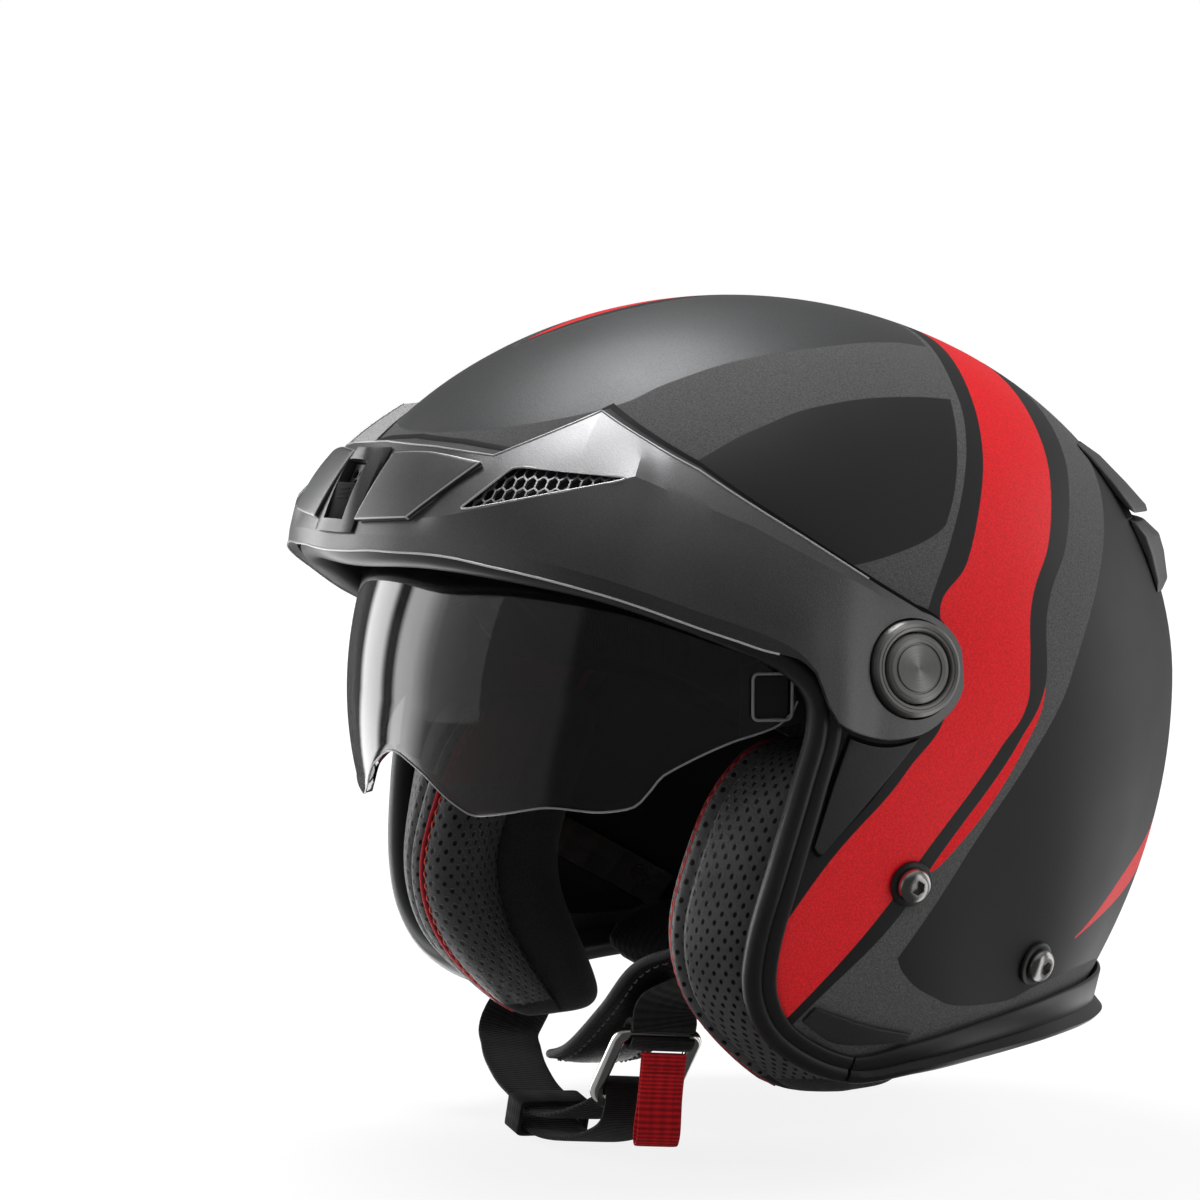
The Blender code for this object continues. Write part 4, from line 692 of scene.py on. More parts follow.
def scaled_uv(body, across, along):
    """Turns a body's grid shares into metres, so that a weave keeps its scale."""
    layer = body.loops.layers.uv.verify()
    for face in body.faces:
        for corner in face.loops:
            corner[layer].uv = (corner[layer].uv.x * across, corner[layer].uv.y * along)
    return body


# Pieces

def new_mesh(name, body):
    mesh = bpy.data.meshes.new(name)
    body.to_mesh(mesh)
    body.free()
    return mesh


def new_object(name, data):
    made = bpy.data.objects.new(name, data)
    bpy.context.scene.collection.objects.link(made)
    return made


def solid(name, body):
    return new_object(name, new_mesh(name, body))


def modify(part, kind, **settings):
    modifier = part.modifiers.new(kind, kind)
    for name, value in settings.items():
        setattr(modifier, name, value)
    return modifier


def cut(part, body, operation="DIFFERENCE"):
    cutter = solid("cutter", body)
    cutter.hide_render = True
    CUTTERS.append(cutter)
    modify(part, "BOOLEAN", operation=operation, object=cutter)


def thicken(part, wall):
    modify(part, "SOLIDIFY", thickness=wall, offset=-1, use_even_offset=True)


def round_edges(part, width, segments=2, angle=28, highlight_edges=()):
    """Rounds a part's edges. Two materials given here are that of the part and that of its edges, which paints
    a light highlight line along them.
    """
    limit = math.radians(angle)
    edges = modify(part, "BEVEL", width=width, segments=segments, limit_method="ANGLE", angle_limit=limit)
    for material in highlight_edges:
        part.data.materials.append(MATERIALS[material])
        edges.material = 1


def settle(part, sharp=35):
    """Applies a piece's modifiers, removes its cutters and shades it."""
    graph = bpy.context.evaluated_depsgraph_get()
    mesh = bpy.data.meshes.new_from_object(part.evaluated_get(graph))
    part.modifiers.clear()
    part.data = mesh
    while CUTTERS:
        bpy.data.objects.remove(CUTTERS.pop())
    mesh.shade_smooth()
    mesh.set_sharp_from_angle(angle=math.radians(sharp))


def dress(part, material, slot, body="helmet", sharp=35):
    """Settles a piece and lets it ride on a body, in place of its CAD node if it has one."""
    settle(part, sharp)
    if not part.data.materials:
        part.data.materials.append(MATERIALS[material])
    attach(part, body)
    if part.name.endswith("_look"):
        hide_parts(part.name.removesuffix("_look"))
    return part


def piece(name, body, *looks, **more):
    """Makes and dresses a piece that needs no modifiers."""
    return dress(solid(name, body), *looks, **more)


def turned(name, profile, origin, axis, steps=96, ring=False):
    """A body turned round an axis from (radius, height) points that run down its outer side."""
    mesh = bpy.data.meshes.new(name)
    count = len(profile)
    edges = [(i, (i + 1) % count) for i in range(count if ring else count - 1)]
    mesh.from_pydata([(radius, 0, height) for radius, height in profile], edges, [])
    part = new_object(name, mesh)
    part.matrix_world = Matrix.Translation(origin) @ axis_turn(axis)
    modify(part, "SCREW", steps=steps, render_steps=steps, use_merge_vertices=True, merge_threshold=1e-5,
           use_normal_calculate=False)
    return part


# Materials

class Nodes:
    """The node tree of a material or of the world."""

    def __init__(self, owner):
        owner.use_nodes = True
        self.tree = owner.node_tree
        self.shader = self.tree.nodes.get("Principled BSDF")

    def feed(self, socket, value):
        """Links an output to a socket, or sets the socket to a plain value."""
        if isinstance(value, bpy.types.NodeSocket):
            self.tree.links.new(value, socket)
        else:
            socket.default_value = value

    def set(self, node, **named):
        """Feeds a node's sockets by name, with _ for a space. A name in small letters is a setting."""
        for name, value in named.items():
            if name[0].islower():
                setattr(node, name, value)
            else:
                self.feed(node.inputs[name.replace("_", " ")], value)

    def add(self, kind, *values, **named):
        """A new node, with values for its sockets in their order or by name."""
        node = self.tree.nodes.new("ShaderNode" + kind)
        self.set(node, **named)
        for socket, value in zip(node.inputs, values):
            self.feed(socket, value)
        return node

    def look(self, **named):
        self.set(self.shader, **named)

    def end(self, shader):
        """Makes a shader the one that shows."""
        output = next(node for node in self.tree.nodes if node.type.startswith("OUTPUT"))
        self.feed(output.inputs[0], shader.outputs[0])

    def maths(self, operation, *values):
        """The operation on the first two values, then on its result and the next value, and so on."""
        found = self.add("Math", *values[:2], operation=operation).outputs[0]
        for value in values[2:]:
            found = self.add("Math", found, value, operation=operation).outputs[0]
        return found

    def times(self, *values):
        return self.maths("MULTIPLY", *values)

    def plus(self, *values):
        return self.maths("ADD", *values)

    def any_of(self, *masks):
        return self.maths("MAXIMUM", *masks)

    def opposite(self, mask):
        return self.maths("SUBTRACT", 1.0, mask)

    def place(self, kind="Object"):
        return self.add("TexCoord").outputs[kind]

    def axes(self, kind="Object"):
        return self.add("SeparateXYZ", self.place(kind)).outputs

    def grain(self, scale, detail=2.0):
        return self.add("TexNoise", Vector=self.place(), Scale=scale, Detail=detail).outputs[0]

    def cells(self, where, scale, **more):
        return self.add("TexVoronoi", Vector=where, Scale=scale, **more).outputs["Distance"]

    def span(self, value, low=0.3, high=0.7, new_low=0.0, new_high=1.0):
        """A value from one range set to another. Left out, the first is the one that grains spread over."""
        return self.add("MapRange", value, low, high, new_low, new_high).outputs[0]

    def mixed(self, share, first, second):
        node = self.add("Mix", share, data_type="RGBA")
        for socket, value in zip(node.inputs[6:8], (first, second)):
            self.feed(socket, value if isinstance(value, bpy.types.NodeSocket) else (*value, 1))
        return node.outputs[2]

    def shades(self, share, colour, dark, light):
        """A colour between two shades of itself."""
        return self.mixed(share, *(tuple(part * factor for part in colour) for factor in (dark, light)))

    def bump(self, height, strength, distance):
        bump = self.add("Bump", Strength=strength, Distance=distance, Height=height)
        self.look(Normal=bump.outputs[0])

    def curve(self, points, value, low, high):
        """A curve in millimetres through (input, output) points, read at a value in metres."""
        node = self.add("FloatCurve", Value=self.span(value, low * MM, high * MM))
        knots = node.mapping.curves[0].points
        first = min(y for _, y in points) - CURVE_MARGIN
        last = max(y for _, y in points) + CURVE_MARGIN
        while len(knots) < len(points):
            knots.new(0.5, 0.5)
        for knot, (x, y) in zip(knots, points):
            knot.location = ((x - low) / (high - low), (y - first) / (last - first))
            knot.handle_type = "AUTO_CLAMPED"
        node.mapping.use_clip = False
        node.mapping.update()
        return self.span(node.outputs[0], 0, 1, first * MM, last * MM)

    def past(self, value, edge):
        """1 where a value is over an edge, with a slightly soft step."""
        return self.span(self.maths("SUBTRACT", value, edge), -STEP_SOFT, STEP_SOFT)

    def eye_rays(self):
        """1 for rays that bring the background to the eye: straight, through glass or off a gloss."""
        rays = self.add("LightPath").outputs
        return self.any_of(*(rays[f"Is {kind} Ray"] for kind in ("Camera", "Transmission", "Glossy")))


def new_material(name, colour, roughness, metallic=0.0, **sockets):
    MATERIALS[name] = bpy.data.materials.new(name)
    nodes = Nodes(MATERIALS[name])
    nodes.look(Base_Color=(*colour, 1), Roughness=roughness, Metallic=metallic, **sockets)
    return nodes


def grained(name, colour, roughness, scale, bump, spread, metallic=0.0, **sockets):
    """A material with a fine even grain in its colour, its roughness and its surface."""
    nodes = new_material(name, colour, roughness, metallic, **sockets)
    fine = nodes.grain(scale)
    wide = nodes.grain(40, 3)
    even = nodes.plus(nodes.times(fine, 0.7), nodes.times(wide, 0.3))
    nodes.look(
        Base_Color=nodes.shades(nodes.span(even), colour, 1 - spread, 1 + spread),
        Roughness=nodes.span(wide, new_low=roughness - 0.04, new_high=roughness + 0.05),
    )
    nodes.bump(fine, bump, 0.4 * MM)


def paint_shell():
    """Matte paint with flat stripes, whose edges are curves in the side view or from above."""
    nodes = new_material("shell_paint", CHARCOAL, 0.5, Specular_IOR_Level=0.25)
    all_of, any_of, no, past = nodes.times, nodes.any_of, nodes.opposite, nodes.past
    x, y, z = nodes.axes()
    across = nodes.times(x, -1.0)

    def behind(points):
        return past(y, nodes.curve(points, z, *PAINT_HEIGHTS))

    def above(points):
        return past(z, nodes.curve(points, y, *PAINT_DEPTHS))

    def aside(points, shift=0.0):
        return past(across, nodes.plus(nodes.curve(points, y, *PAINT_DEPTHS), shift))

    thin_front, thin_rear = behind(THIN_FRONT), behind(THIN_REAR)
    red_rear, line_rear = behind(RED_REAR), behind(LINE_REAR)
    band_top, low_top = above(BAND_TOP), above(LOW_TOP)
    edging_inner, edging_outer = aside(EDGING_INNER), aside(EDGING_OUTER)
    high = past(z, PATCH_FOOT)
    ahead = no(thin_front)
    edging = all_of(edging_inner, no(edging_outer), no(red_rear))
    lines = any_of(
        all_of(aside(EDGING_INNER, -EDGING_LINE), no(edging_inner)),
        all_of(edging_outer, no(aside(EDGING_OUTER, EDGING_LINE))),
    )
    grey = any_of(
        all_of(ahead, above(BAND_FOOT), no(band_top)),
        all_of(thin_front, no(thin_rear), high),
        all_of(high, no(above(PATCH_TOP)), no(thin_rear)),
        all_of(line_rear, no(behind(GREY_REAR)), any_of(low_top, high)),
        all_of(line_rear, no(low_top)),
    )
    grey = any_of(all_of(grey, no(edging)), all_of(lines, ahead, past(y, EDGING_INNER[1][0] * MM)))
    red = any_of(
        all_of(behind(RED_FRONT), no(red_rear)),
        all_of(line_rear, no(behind(SPARK_REAR))),
        all_of(above(FLASH_FOOT), no(above(FLASH_TOP)), past(y, FLASH_FRONT)),
        all_of(aside(STRIPE_INNER), no(aside(STRIPE_OUTER)), no(red_rear)),
    )
    crown = all_of(ahead, band_top, no(edging))
    flake = nodes.grain(1900, 3)
    speck = nodes.span(flake, 0.32, 0.68)
    paint = nodes.mixed(crown, BLACK, nodes.shades(speck, CHARCOAL, 0.85, 1.2))
    paint = nodes.mixed(grey, paint, nodes.shades(speck, GREY, 0.72, 1.3))
    satin = nodes.span(nodes.grain(30), new_low=0.4, new_high=0.47)
    nodes.look(
        Base_Color=nodes.mixed(red, paint, nodes.shades(speck, RED, 0.8, 1.15)),
        Roughness=nodes.plus(satin, nodes.times(grey, 0.3)),
        Metallic=nodes.times(crown, 0.45),
    )
    nodes.bump(flake, 0.12, 0.3 * MM)


def make_leather(name, colour, pitch, hole):
    """Grained leather with rows of punched holes, in the pad's own metres."""
    nodes = new_material(name, colour, 0.5, Specular_IOR_Level=0.45)
    turn = nodes.add("Mapping", Vector=nodes.place("UV"), Rotation=(0, 0, math.radians(45)))
    holes = nodes.cells(turn.outputs[0], 1 / pitch, voronoi_dimensions="2D", Randomness=0.0)
    rim = nodes.span(holes, hole * 0.8, hole * 1.25)
    pores = nodes.cells(nodes.place(), 1100)
    hide = nodes.shades(nodes.span(nodes.grain(60, 3)), colour, 0.8, 1.25)
    nodes.look(
        Base_Color=nodes.mixed(rim, (0.001, 0.001, 0.001), hide),
        Roughness=nodes.span(pores, 0.0, 0.8, 0.42, 0.6),
    )
    nodes.bump(nodes.plus(rim, nodes.times(pores, 0.25)), 0.55, 0.7 * MM)


def make_weave(name, colour, pitch, roughness=0.85, bump=0.5, across="UV"):
    """Woven cloth: ribs across the strip and finer threads along it."""
    nodes = new_material(name, colour, roughness, Specular_IOR_Level=0.25, Sheen_Weight=0.15)
    x, y, _ = nodes.axes(across)
    ribs = nodes.maths("SINE", nodes.times(x, math.tau / pitch))
    threads = nodes.maths("SINE", nodes.times(y, math.tau / (pitch * 0.6)))
    fibre = nodes.times(nodes.grain(2600), 0.6)
    height = nodes.plus(nodes.times(ribs, 0.4), nodes.times(threads, 0.15), fibre)
    # The colour follows the weave's relief: lighter on the ribs and darker in the hollows between them, as
    # painted light and shade
    nodes.look(Base_Color=nodes.shades(nodes.span(height, -0.2, 0.8), colour, 0.55, 1.45))
    nodes.bump(height, bump, 0.5 * MM)


def make_turned_metal():
    nodes = new_material("turned_metal", TURNED_DARK, 0.42, 1.0, Anisotropic=0.95, Anisotropic_Rotation=0.25)
    x, y, _ = nodes.axes()
    radius = nodes.maths("SQRT", nodes.plus(nodes.times(x, x), nodes.times(y, y)))
    marks = nodes.add("TexNoise", noise_dimensions="1D", W=radius, Scale=5200, Detail=2).outputs[0]
    nodes.look(
        Tangent=nodes.add("Tangent", direction_type="RADIAL", axis="Z").outputs[0],
        Base_Color=nodes.mixed(nodes.span(marks), TURNED_DARK, TURNED_LIGHT),
        Roughness=nodes.span(marks, new_low=0.4, new_high=0.52),
    )
    nodes.bump(marks, 0.08, 0.2 * MM)


def make_lens():
    nodes = new_material("smoked_lens", LENS_DARK, 0.015, IOR=1.5, Transmission_Weight=1.0)
    nodes.look(Base_Color=nodes.mixed(nodes.span(nodes.grain(14, 1)), LENS_DARK, LENS_LIGHT))


def make_foam():
    nodes = new_material("bead_foam", FOAM_LIGHT, 0.95, Specular_IOR_Level=0.1)
    beads = nodes.cells(nodes.place(), 330)
    # The beads are lighter in their middles and darker in the hollows between them: painted shade
    nodes.look(Base_Color=nodes.mixed(beads, FOAM_LIGHT, FOAM_DARK))
    nodes.bump(nodes.times(beads, -1.0), 0.2, 0.6 * MM)


def make_materials():
    paint_shell()
    grained("gunmetal", (0.15, 0.15, 0.153), 0.35, 2300, 0.1, 0.14, 0.85, Specular_IOR_Level=0.4)
    # A light grey for thin tubes on the lens's lower edge and round the clips' windows: painted highlight
    # lines
    grained("lens_edge_highlight", (0.2, 0.2, 0.203), 0.2, 900, 0.02, 0.1)
    grained("vent_black", (0.008, 0.008, 0.008), 0.8, 1500, 0.2, 0.2, Specular_IOR_Level=0.2)
    # A light metal for bevels and thin tubes along the brow's edges: painted highlight lines
    grained("painted_edge_highlight", (0.54, 0.54, 0.545), 0.34, 2300, 0.1, 0.14, 0.3)
    grained("dark_panel", (0.06, 0.0605, 0.062), 0.4, 2300, 0.08, 0.14, 0.6, Specular_IOR_Level=0.4)
    grained("rubber_trim", (0.014, 0.014, 0.015), 0.36, 900, 0.05, 0.15, Specular_IOR_Level=0.5)
    # Near black for strips in the gaps at the brow's crest, round the side panels and in the rear outlet:
    # painted shade
    grained("gap_shade", (0.003, 0.003, 0.003), 0.7, 900, 0.05, 0.15, Specular_IOR_Level=0.2)
    grained("grille", (0.3, 0.3, 0.305), 0.34, 1500, 0.1, 0.2, 0.8)
    grained("satin_black", (0.012, 0.012, 0.0125), 0.4, 1800, 0.08, 0.15)
    grained("steel_bright", (0.5, 0.49, 0.48), 0.24, 1400, 0.04, 0.08, 1.0)
    grained("nylon", (0.55, 0.55, 0.52), 0.5, 700, 0.1, 0.06)
    grained("ring_chrome", (0.85, 0.84, 0.82), 0.13, 500, 0.01, 0.04, 1.0)
    grained("suede", (0.024, 0.024, 0.025), 0.9, 1500, 0.6, 0.35, Specular_IOR_Level=0.2, Sheen_Weight=0.1)
    grained("red_suede", (0.2, 0.006, 0.012), 0.9, 1500, 0.6, 0.35, Specular_IOR_Level=0.2)
    grained("red_piping", (0.42, 0.01, 0.02), 0.6, 1800, 0.3, 0.2)
    grained("red_thread", (0.62, 0.06, 0.035), 0.6, 2400, 0.3, 0.2)
    grained("grey_thread", (0.09, 0.09, 0.092), 0.6, 2400, 0.3, 0.2)
    grained("bound_edge", (0.03, 0.03, 0.031), 0.7, 1300, 0.5, 0.3)
    make_leather("punched_leather", (0.07, 0.07, 0.072), 2.5 * MM, 0.21)
    make_leather("cover_leather", (0.02, 0.02, 0.021), 60 * MM, 0.0)
    make_weave("webbing_weave", (0.014, 0.014, 0.0145), 1.3 * MM)
    make_weave("ribbon_weave", (0.72, 0.01, 0.018), 1.2 * MM)
    make_weave("lining_weave", (0.012, 0.012, 0.0125), 1.6 * MM, 0.92, 0.4, "Object")
    make_turned_metal()
    make_lens()
    make_foam()


# Shell and trims

def edge_loop(outline):
    """The closed loop on the shell of an outline that runs from the front to the rear of one side."""
    left = [skin(turn, height * MM) for turn, height in outline]
    return left + [Vector((-point.x, point.y, point.z)) for point in left[-2:0:-1]]


def dome(name, outline, offset, wall, count, rings):
    """A dome from the crown to an outline on the shell, cut up into count strips round that outline."""
    loop = edge_loop(outline)

    def place(round_share, down_share):
        position = round(round_share * count) % count * len(loop) / count
        end = spline(loop, position, closed=True).normalized()
        return toward(SHELL_POLE.slerp(end, down_share), offset)

    part = solid(name, face_outward(sheet(count, rings, place)))
    thicken(part, wall)
    return part


def edge_section(loop, position, profile):
    """A trim's profile, as distances past the shell's edge and out of it, at a place on that edge."""
    here = toward(spline(loop, position, closed=True))
    ahead = spline(loop, position + 0.01, closed=True) - spline(loop, position - 0.01, closed=True)
    out = outward(here)
    past = ahead.cross(out).normalized()
    return [here + past * reach + out * rise for reach, rise in profile]


def trim_profile(leg, flare, gap):
    """A trim's section: an outer leg, a round bead and an inner leg."""
    outer = gap + TRIM_LIP
    inner = -SHELL_WALL - gap
    top = outer + 0.5 * MM + flare
    foot = inner - TRIM_LIP
    points = [(-leg, gap), (-leg, outer - 0.4 * MM), (-leg + 0.4 * MM, outer)]
    points += [(-1.1 * MM, outer + flare * 0.4), (-0.6 * MM, outer - 0.5 * MM + flare * 0.45)]
    for angle in range(84, -96, -12):
        reach = TRIM_BEAD * max(math.cos(math.radians(angle)), 0) ** 0.8
        points.append((reach, (top + foot) / 2 + (top - foot) / 2 * math.sin(math.radians(angle))))
    return points + [(-TRIM_LEG, foot), (-TRIM_LEG, inner), (gap, inner), (gap, gap)]


def make_shell():
    strips = 8 * (len(SHELL_EDGE) - 1)
    dress(dome("outer_shell_look", SHELL_EDGE, 0.0, SHELL_WALL, strips, 56), "shell_paint", "shell")
    loop = edge_loop(SHELL_EDGE)

    def make_trim(name, first, last, leg, flare, gap):
        """A trim between two corners of the edge, with its longest leg and most flare in the middle."""
        steps = range(first * TRIM_STEPS + 1, last * TRIM_STEPS)
        first += TRIM_JOINT
        last -= TRIM_JOINT
        sections = []
        for position in [first, *(k / TRIM_STEPS for k in steps), last]:
            swell = math.sin(math.pi * (position - first) / (last - first)) ** 0.8
            profile = trim_profile(TRIM_LEG + (leg - TRIM_LEG) * swell, flare * swell, gap)
            sections.append(edge_section(loop, position, profile))
        piece(name, loft(sections), "rubber_trim", "rubber", sharp=50)

    make_trim("face_trim_look", -EDGE_CORNER, EDGE_CORNER, TRIM_LEG, 0.0, SHELL_GAP)
    make_trim("base_trim_look", EDGE_CORNER, len(loop) - EDGE_CORNER, BASE_LEG, BASE_FLARE, BASE_GAP)


# Brow

def eye_turn(share):
    """The turn at a share of the way from a pivot disc's middle to the brow's rear end."""
    middle = pivot_on(1)
    reach = share * EYE_REACH / math.hypot(middle.x, middle.y)
    return math.degrees(math.atan2(middle.x, -middle.y) + reach)


def brow_rows(turn):
    """Heights and stand-offs of the brow's outside at a turn, from its crest down to its lower edge."""
    side = abs(turn)
    share = (side - eye_turn(0)) / (eye_turn(1) - eye_turn(0))
    eye = EYE_REACH * math.sqrt(max(1 - share**2, 0))
    top = follow(BROW_CREST, side, sharp=True) * MM
    foot = follow(BROW_LOW, side) * MM
    if eye:
        top = max(top, PIVOT_Z + eye)
        foot = min(foot, PIVOT_Z - eye)
    crest = (top, follow(CREST_RISE, side) * MM)
    crease = (follow(BROW_CREASE, side, sharp=True) * MM, follow(CREASE_RISE, side) * MM)
    low = (foot, follow(LOW_RISE, side) * MM)
    upper = tuple((a + b) / 2 for a, b in zip(crest, crease))
    lower = tuple((a + b) / 2 for a, b in zip(crease, low))
    return [crest, upper, crease, lower, low]


def brow_rise(turn, height):
    """How far the brow's outside stands off the shell at a height."""
    return follow(sorted(brow_rows(turn)), height, sharp=True)


def brow_lines(turn):
    """The brow's crest, crease and lower edge at a turn, the first two drawn up to crisp ridges."""
    crest, _, crease, _, low = brow_rows(turn)
    ridge, fold, shift = (follow(curve, abs(turn)) * MM for curve in (CREST_RIDGE, CREASE_RIDGE, LOW_SHIFT))
    return (crest[0], crest[1] + ridge), (crease[0], crease[1] + fold), (low[0] + shift, low[1])


def ridged_rise(turn, height):
    return follow(sorted(brow_lines(turn)), height, sharp=True)


def lip_foot(turn):
    low = brow_lines(turn)[-1]
    lip = BROW_LIP_DEPTH * follow(LIP_SHARE, abs(turn))
    return low[0] - lip, low[1] - lip * 0.3


def steps_between(first, last, count):
    return [tuple(a + (b - a) * k / count for a, b in zip(first, last)) for k in range(count)]


def brow_section(turn):
    rows = brow_rows(turn)
    crest, crease, low = brow_lines(turn)
    foot = lip_foot(turn)
    outside = [(crest[0] + BROW_FOOT, SEAT_GAP)]
    outside += steps_between(crest, crease, 5) + steps_between(crease, low, 6) + [low, foot]
    inside = [(foot[0], foot[1] - BROW_WALL)]
    inside += [(height, rise - BROW_WALL) for height, rise in reversed(rows[1:-1])]
    room = crest[0] - rows[1][0]
    inside += [(crest[0] - min(BROW_WALL, room * 0.6), max(crest[1] - BROW_WALL, 2 * SEAT_GAP))]
    inside += [(crest[0] - min(BROW_WALL - BROW_FOOT, room * 0.4), SEAT_GAP)]
    return [skin(turn, height, rise) for height, rise in outside + inside]


def brow_turns():
    """Turns of the brow's sections: corners of its outlines, and steps of about a degree between them."""
    corners = {turn for outline in (BROW_CREST, BROW_CREASE) for turn, _ in outline if turn < eye_turn(0)}
    marks = sorted(corners | set(BROW_TURNS)) + [eye_turn(share) for share in BROW_END_SHARES]
    left = []
    for first, last in zip(marks, marks[1:]):
        count = max(1, round(last - first))
        left += [first + (last - first) * k / count for k in range(count)]
    left.append(marks[-1])
    return [-turn for turn in reversed(left[1:])] + left


def vent_walls(side, shrink=0.0):
    """A prism through the brow along a vent's outline, a little inside it if asked."""
    outline = rounded(VENT_CORNERS, VENT_ROUNDING, 5)
    middle = sum(outline, Vector((0, 0))) / len(outline)
    outline = [middle + (corner - middle) * (1 - shrink) for corner in outline]
    return loft([[skin(side * turn, height * MM, offset) for turn, height in outline] for offset in VENT_CUT])


def make_grilles():
    """A honeycomb plate set just inside each vent."""
    turns, heights = zip(*VENT_CORNERS)
    columns = round((max(turns) - min(turns)) * GRILLE_DEGREE / GRILLE_PITCH) + 4
    rows = round((max(heights) - min(heights)) * MM / (GRILLE_PITCH * HEXAGON_ROW)) + 4

    def corners(side, x, y, reach):
        for k in range(6):
            angle = math.radians(60 * k + 30)
            turn = min(turns) + (x + reach / HEXAGON_ROW * math.cos(angle)) / GRILLE_DEGREE
            height = min(heights) * MM + y + reach / HEXAGON_ROW * math.sin(angle)
            yield skin(side * turn, height, ridged_rise(turn, height) - GRILLE_DEPTH)

    for name, side in SIDES.items():
        web = bmesh.new()
        for row in range(rows):
            for column in range(columns):
                x = (column + 0.5 * (row % 2) - 1.5) * GRILLE_PITCH
                y = (row - 1.5) * GRILLE_PITCH * HEXAGON_ROW
                outer, inner = (
                    [web.verts.new(corner) for corner in corners(side, x, y, reach)]
                    for reach in (GRILLE_PITCH / 2, GRILLE_PITCH / 2 - GRILLE_WEB / 2)
                )
                for k in range(6):
                    web.faces.new((outer[k - 1], outer[k], inner[k], inner[k - 1]))
        bmesh.ops.remove_doubles(web, verts=web.verts, dist=0.05 * MM)
        grille = solid(f"brow_vent_mesh_{name}_look", face_outward(web))
        thicken(grille, MESH_PLATE)
        cut(grille, vent_walls(side, 0.015), "INTERSECT")
        dress(grille, "grille", "mesh")


def make_brow():
    brow = solid("brow_look", loft([brow_section(turn) for turn in brow_turns()]))
    for side in SIDES.values():
        cut(brow, vent_walls(side))
        origin = pivot_on(side)
        cut(brow, peg(bmesh.new(), origin, outward(origin), DISC_RADIUS + DISC_GAP, -8 * MM, 12 * MM, 96))
    cut(brow, block(bmesh.new(), nose_frame(), WINDOW_WIDTH, WINDOW_HEIGHT, 3 * NOSE_RISE))
    dress(brow, "gunmetal", "brow", sharp=9)
    make_grilles()

    # Thin light tubes along the brow's crest, its lip and its vents' rims paint highlight lines
    turns = [turn for turn in brow_turns() if abs(turn) < EDGE_LAST]
    edges = {
        "brow_crest_edge": [skin(turn, *brow_lines(turn)[0]) for turn in turns],
        "brow_lip_edge": [skin(turn, *lip_foot(turn)) for turn in turns if abs(turn) < LIP_LAST],
    }
    for name, side in SIDES.items():
        outline = rounded(VENT_CORNERS, VENT_ROUNDING, 5)
        rim = [skin(side * turn, height * MM, ridged_rise(turn, height * MM)) for turn, height in outline]
        edges[f"vent_rim_{name}"] = rim
    for name, path in edges.items():
        piece(name, tube(path, EDGE_LINE, closed=name.startswith("vent")), "painted_edge_highlight", "brow")

    # A near-black strip along the crest's foot paints the shade in the gap between brow and shell
    gap_shade_rings = []
    for turn in brow_turns():
        foot = brow_rows(turn)[0][0] + BROW_FOOT
        gap_shade_rings.append([skin(turn, foot + rise * MM, lift * MM) for rise, lift in GAP_SHADE_PROFILE])
    piece("brow_gap_shade", loft(gap_shade_rings), "gap_shade", "rubber")


def make_panels():
    def panel(name, place, rows, columns, wall, *looks, highlight_edges=()):
        part = solid(name, face_outward(sheet(rows, columns, place)))
        thicken(part, wall)
        round_edges(part, PANEL_ROUNDING, 2, 40, highlight_edges)
        dress(part, *looks)

    for name, side in SIDES.items():

        def brow_panel(u, v):
            turn, height = between(BROW_PANEL_TOP, BROW_PANEL_FOOT, u, v)
            rise = brow_rise(turn, height * MM) + SEAT_GAP + BROW_PANEL_WALL
            return skin(side * turn, height * MM, rise)

        def side_panel(u, v, offset=SEAT_GAP + PANEL_WALL):
            turn, height = between(SIDE_PANEL_FRONT, SIDE_PANEL_REAR, u, v)
            bow = 4 * v * (1 - v)
            sag = SIDE_PANEL_SAG * (1 - u) * bow
            tip = SIDE_PANEL_TIP * u**6 * bow
            return skin(side * turn, height * MM - sag - tip, offset)

        # A near-black sheet just wider than the side panel paints the shade in the groove round it
        def side_gap(u, v):
            turn, height = SIDE_PANEL_MIDDLE
            edge = side_panel(u, v, 0.2 * MM)
            away = edge - skin(side * turn, height * MM, 0.2 * MM)
            return toward(edge + away.normalized() * SIDE_PANEL_GAP, 0.25 * MM)

        def corner_panel(u, v):
            turn, height = between(CORNER_PANEL_TOP, CORNER_PANEL_FOOT, u, v)
            return skin(side * turn, height * MM, SEAT_GAP + PANEL_WALL)

        # The brow panels' rounded edges take a lighter paint: a painted highlight
        highlight_edges = ("gunmetal", "painted_edge_highlight")
        panel(f"brow_panel_{name}_look", brow_panel, 24, 20, BROW_PANEL_WALL, "gunmetal", "brow", highlight_edges=highlight_edges)
        panel(f"side_panel_{name}_look", side_panel, 36, 20, PANEL_WALL, "dark_panel", "brow")
        panel(f"side_gap_{name}", side_gap, 36, 20, 0.15 * MM, "gap_shade", "rubber")
        panel(f"corner_panel_{name}_look", corner_panel, 30, 8, PANEL_WALL, "dark_panel", "brow")


# Front vent

def nose_rise(height):
    share = (height - NOSE_FOOT) / (NOSE_HEAD - NOSE_FOOT)
    return NOSE_FOOT_RISE + (NOSE_RISE - NOSE_FOOT_RISE) * share


def nose_frame():
    """The window's frame: X across, Y up the housing's face and Z out of it."""
    foot, head = (skin(0, height, nose_rise(height)) for height in (NOSE_FOOT, NOSE_HEAD))
    up = (head - foot).normalized()
    out = X_AXIS.cross(up)
    turn = Matrix((X_AXIS, up, out)).transposed().to_4x4()
    return Matrix.Translation((foot + head) / 2 - out * NOSE_WALL / 2) @ turn


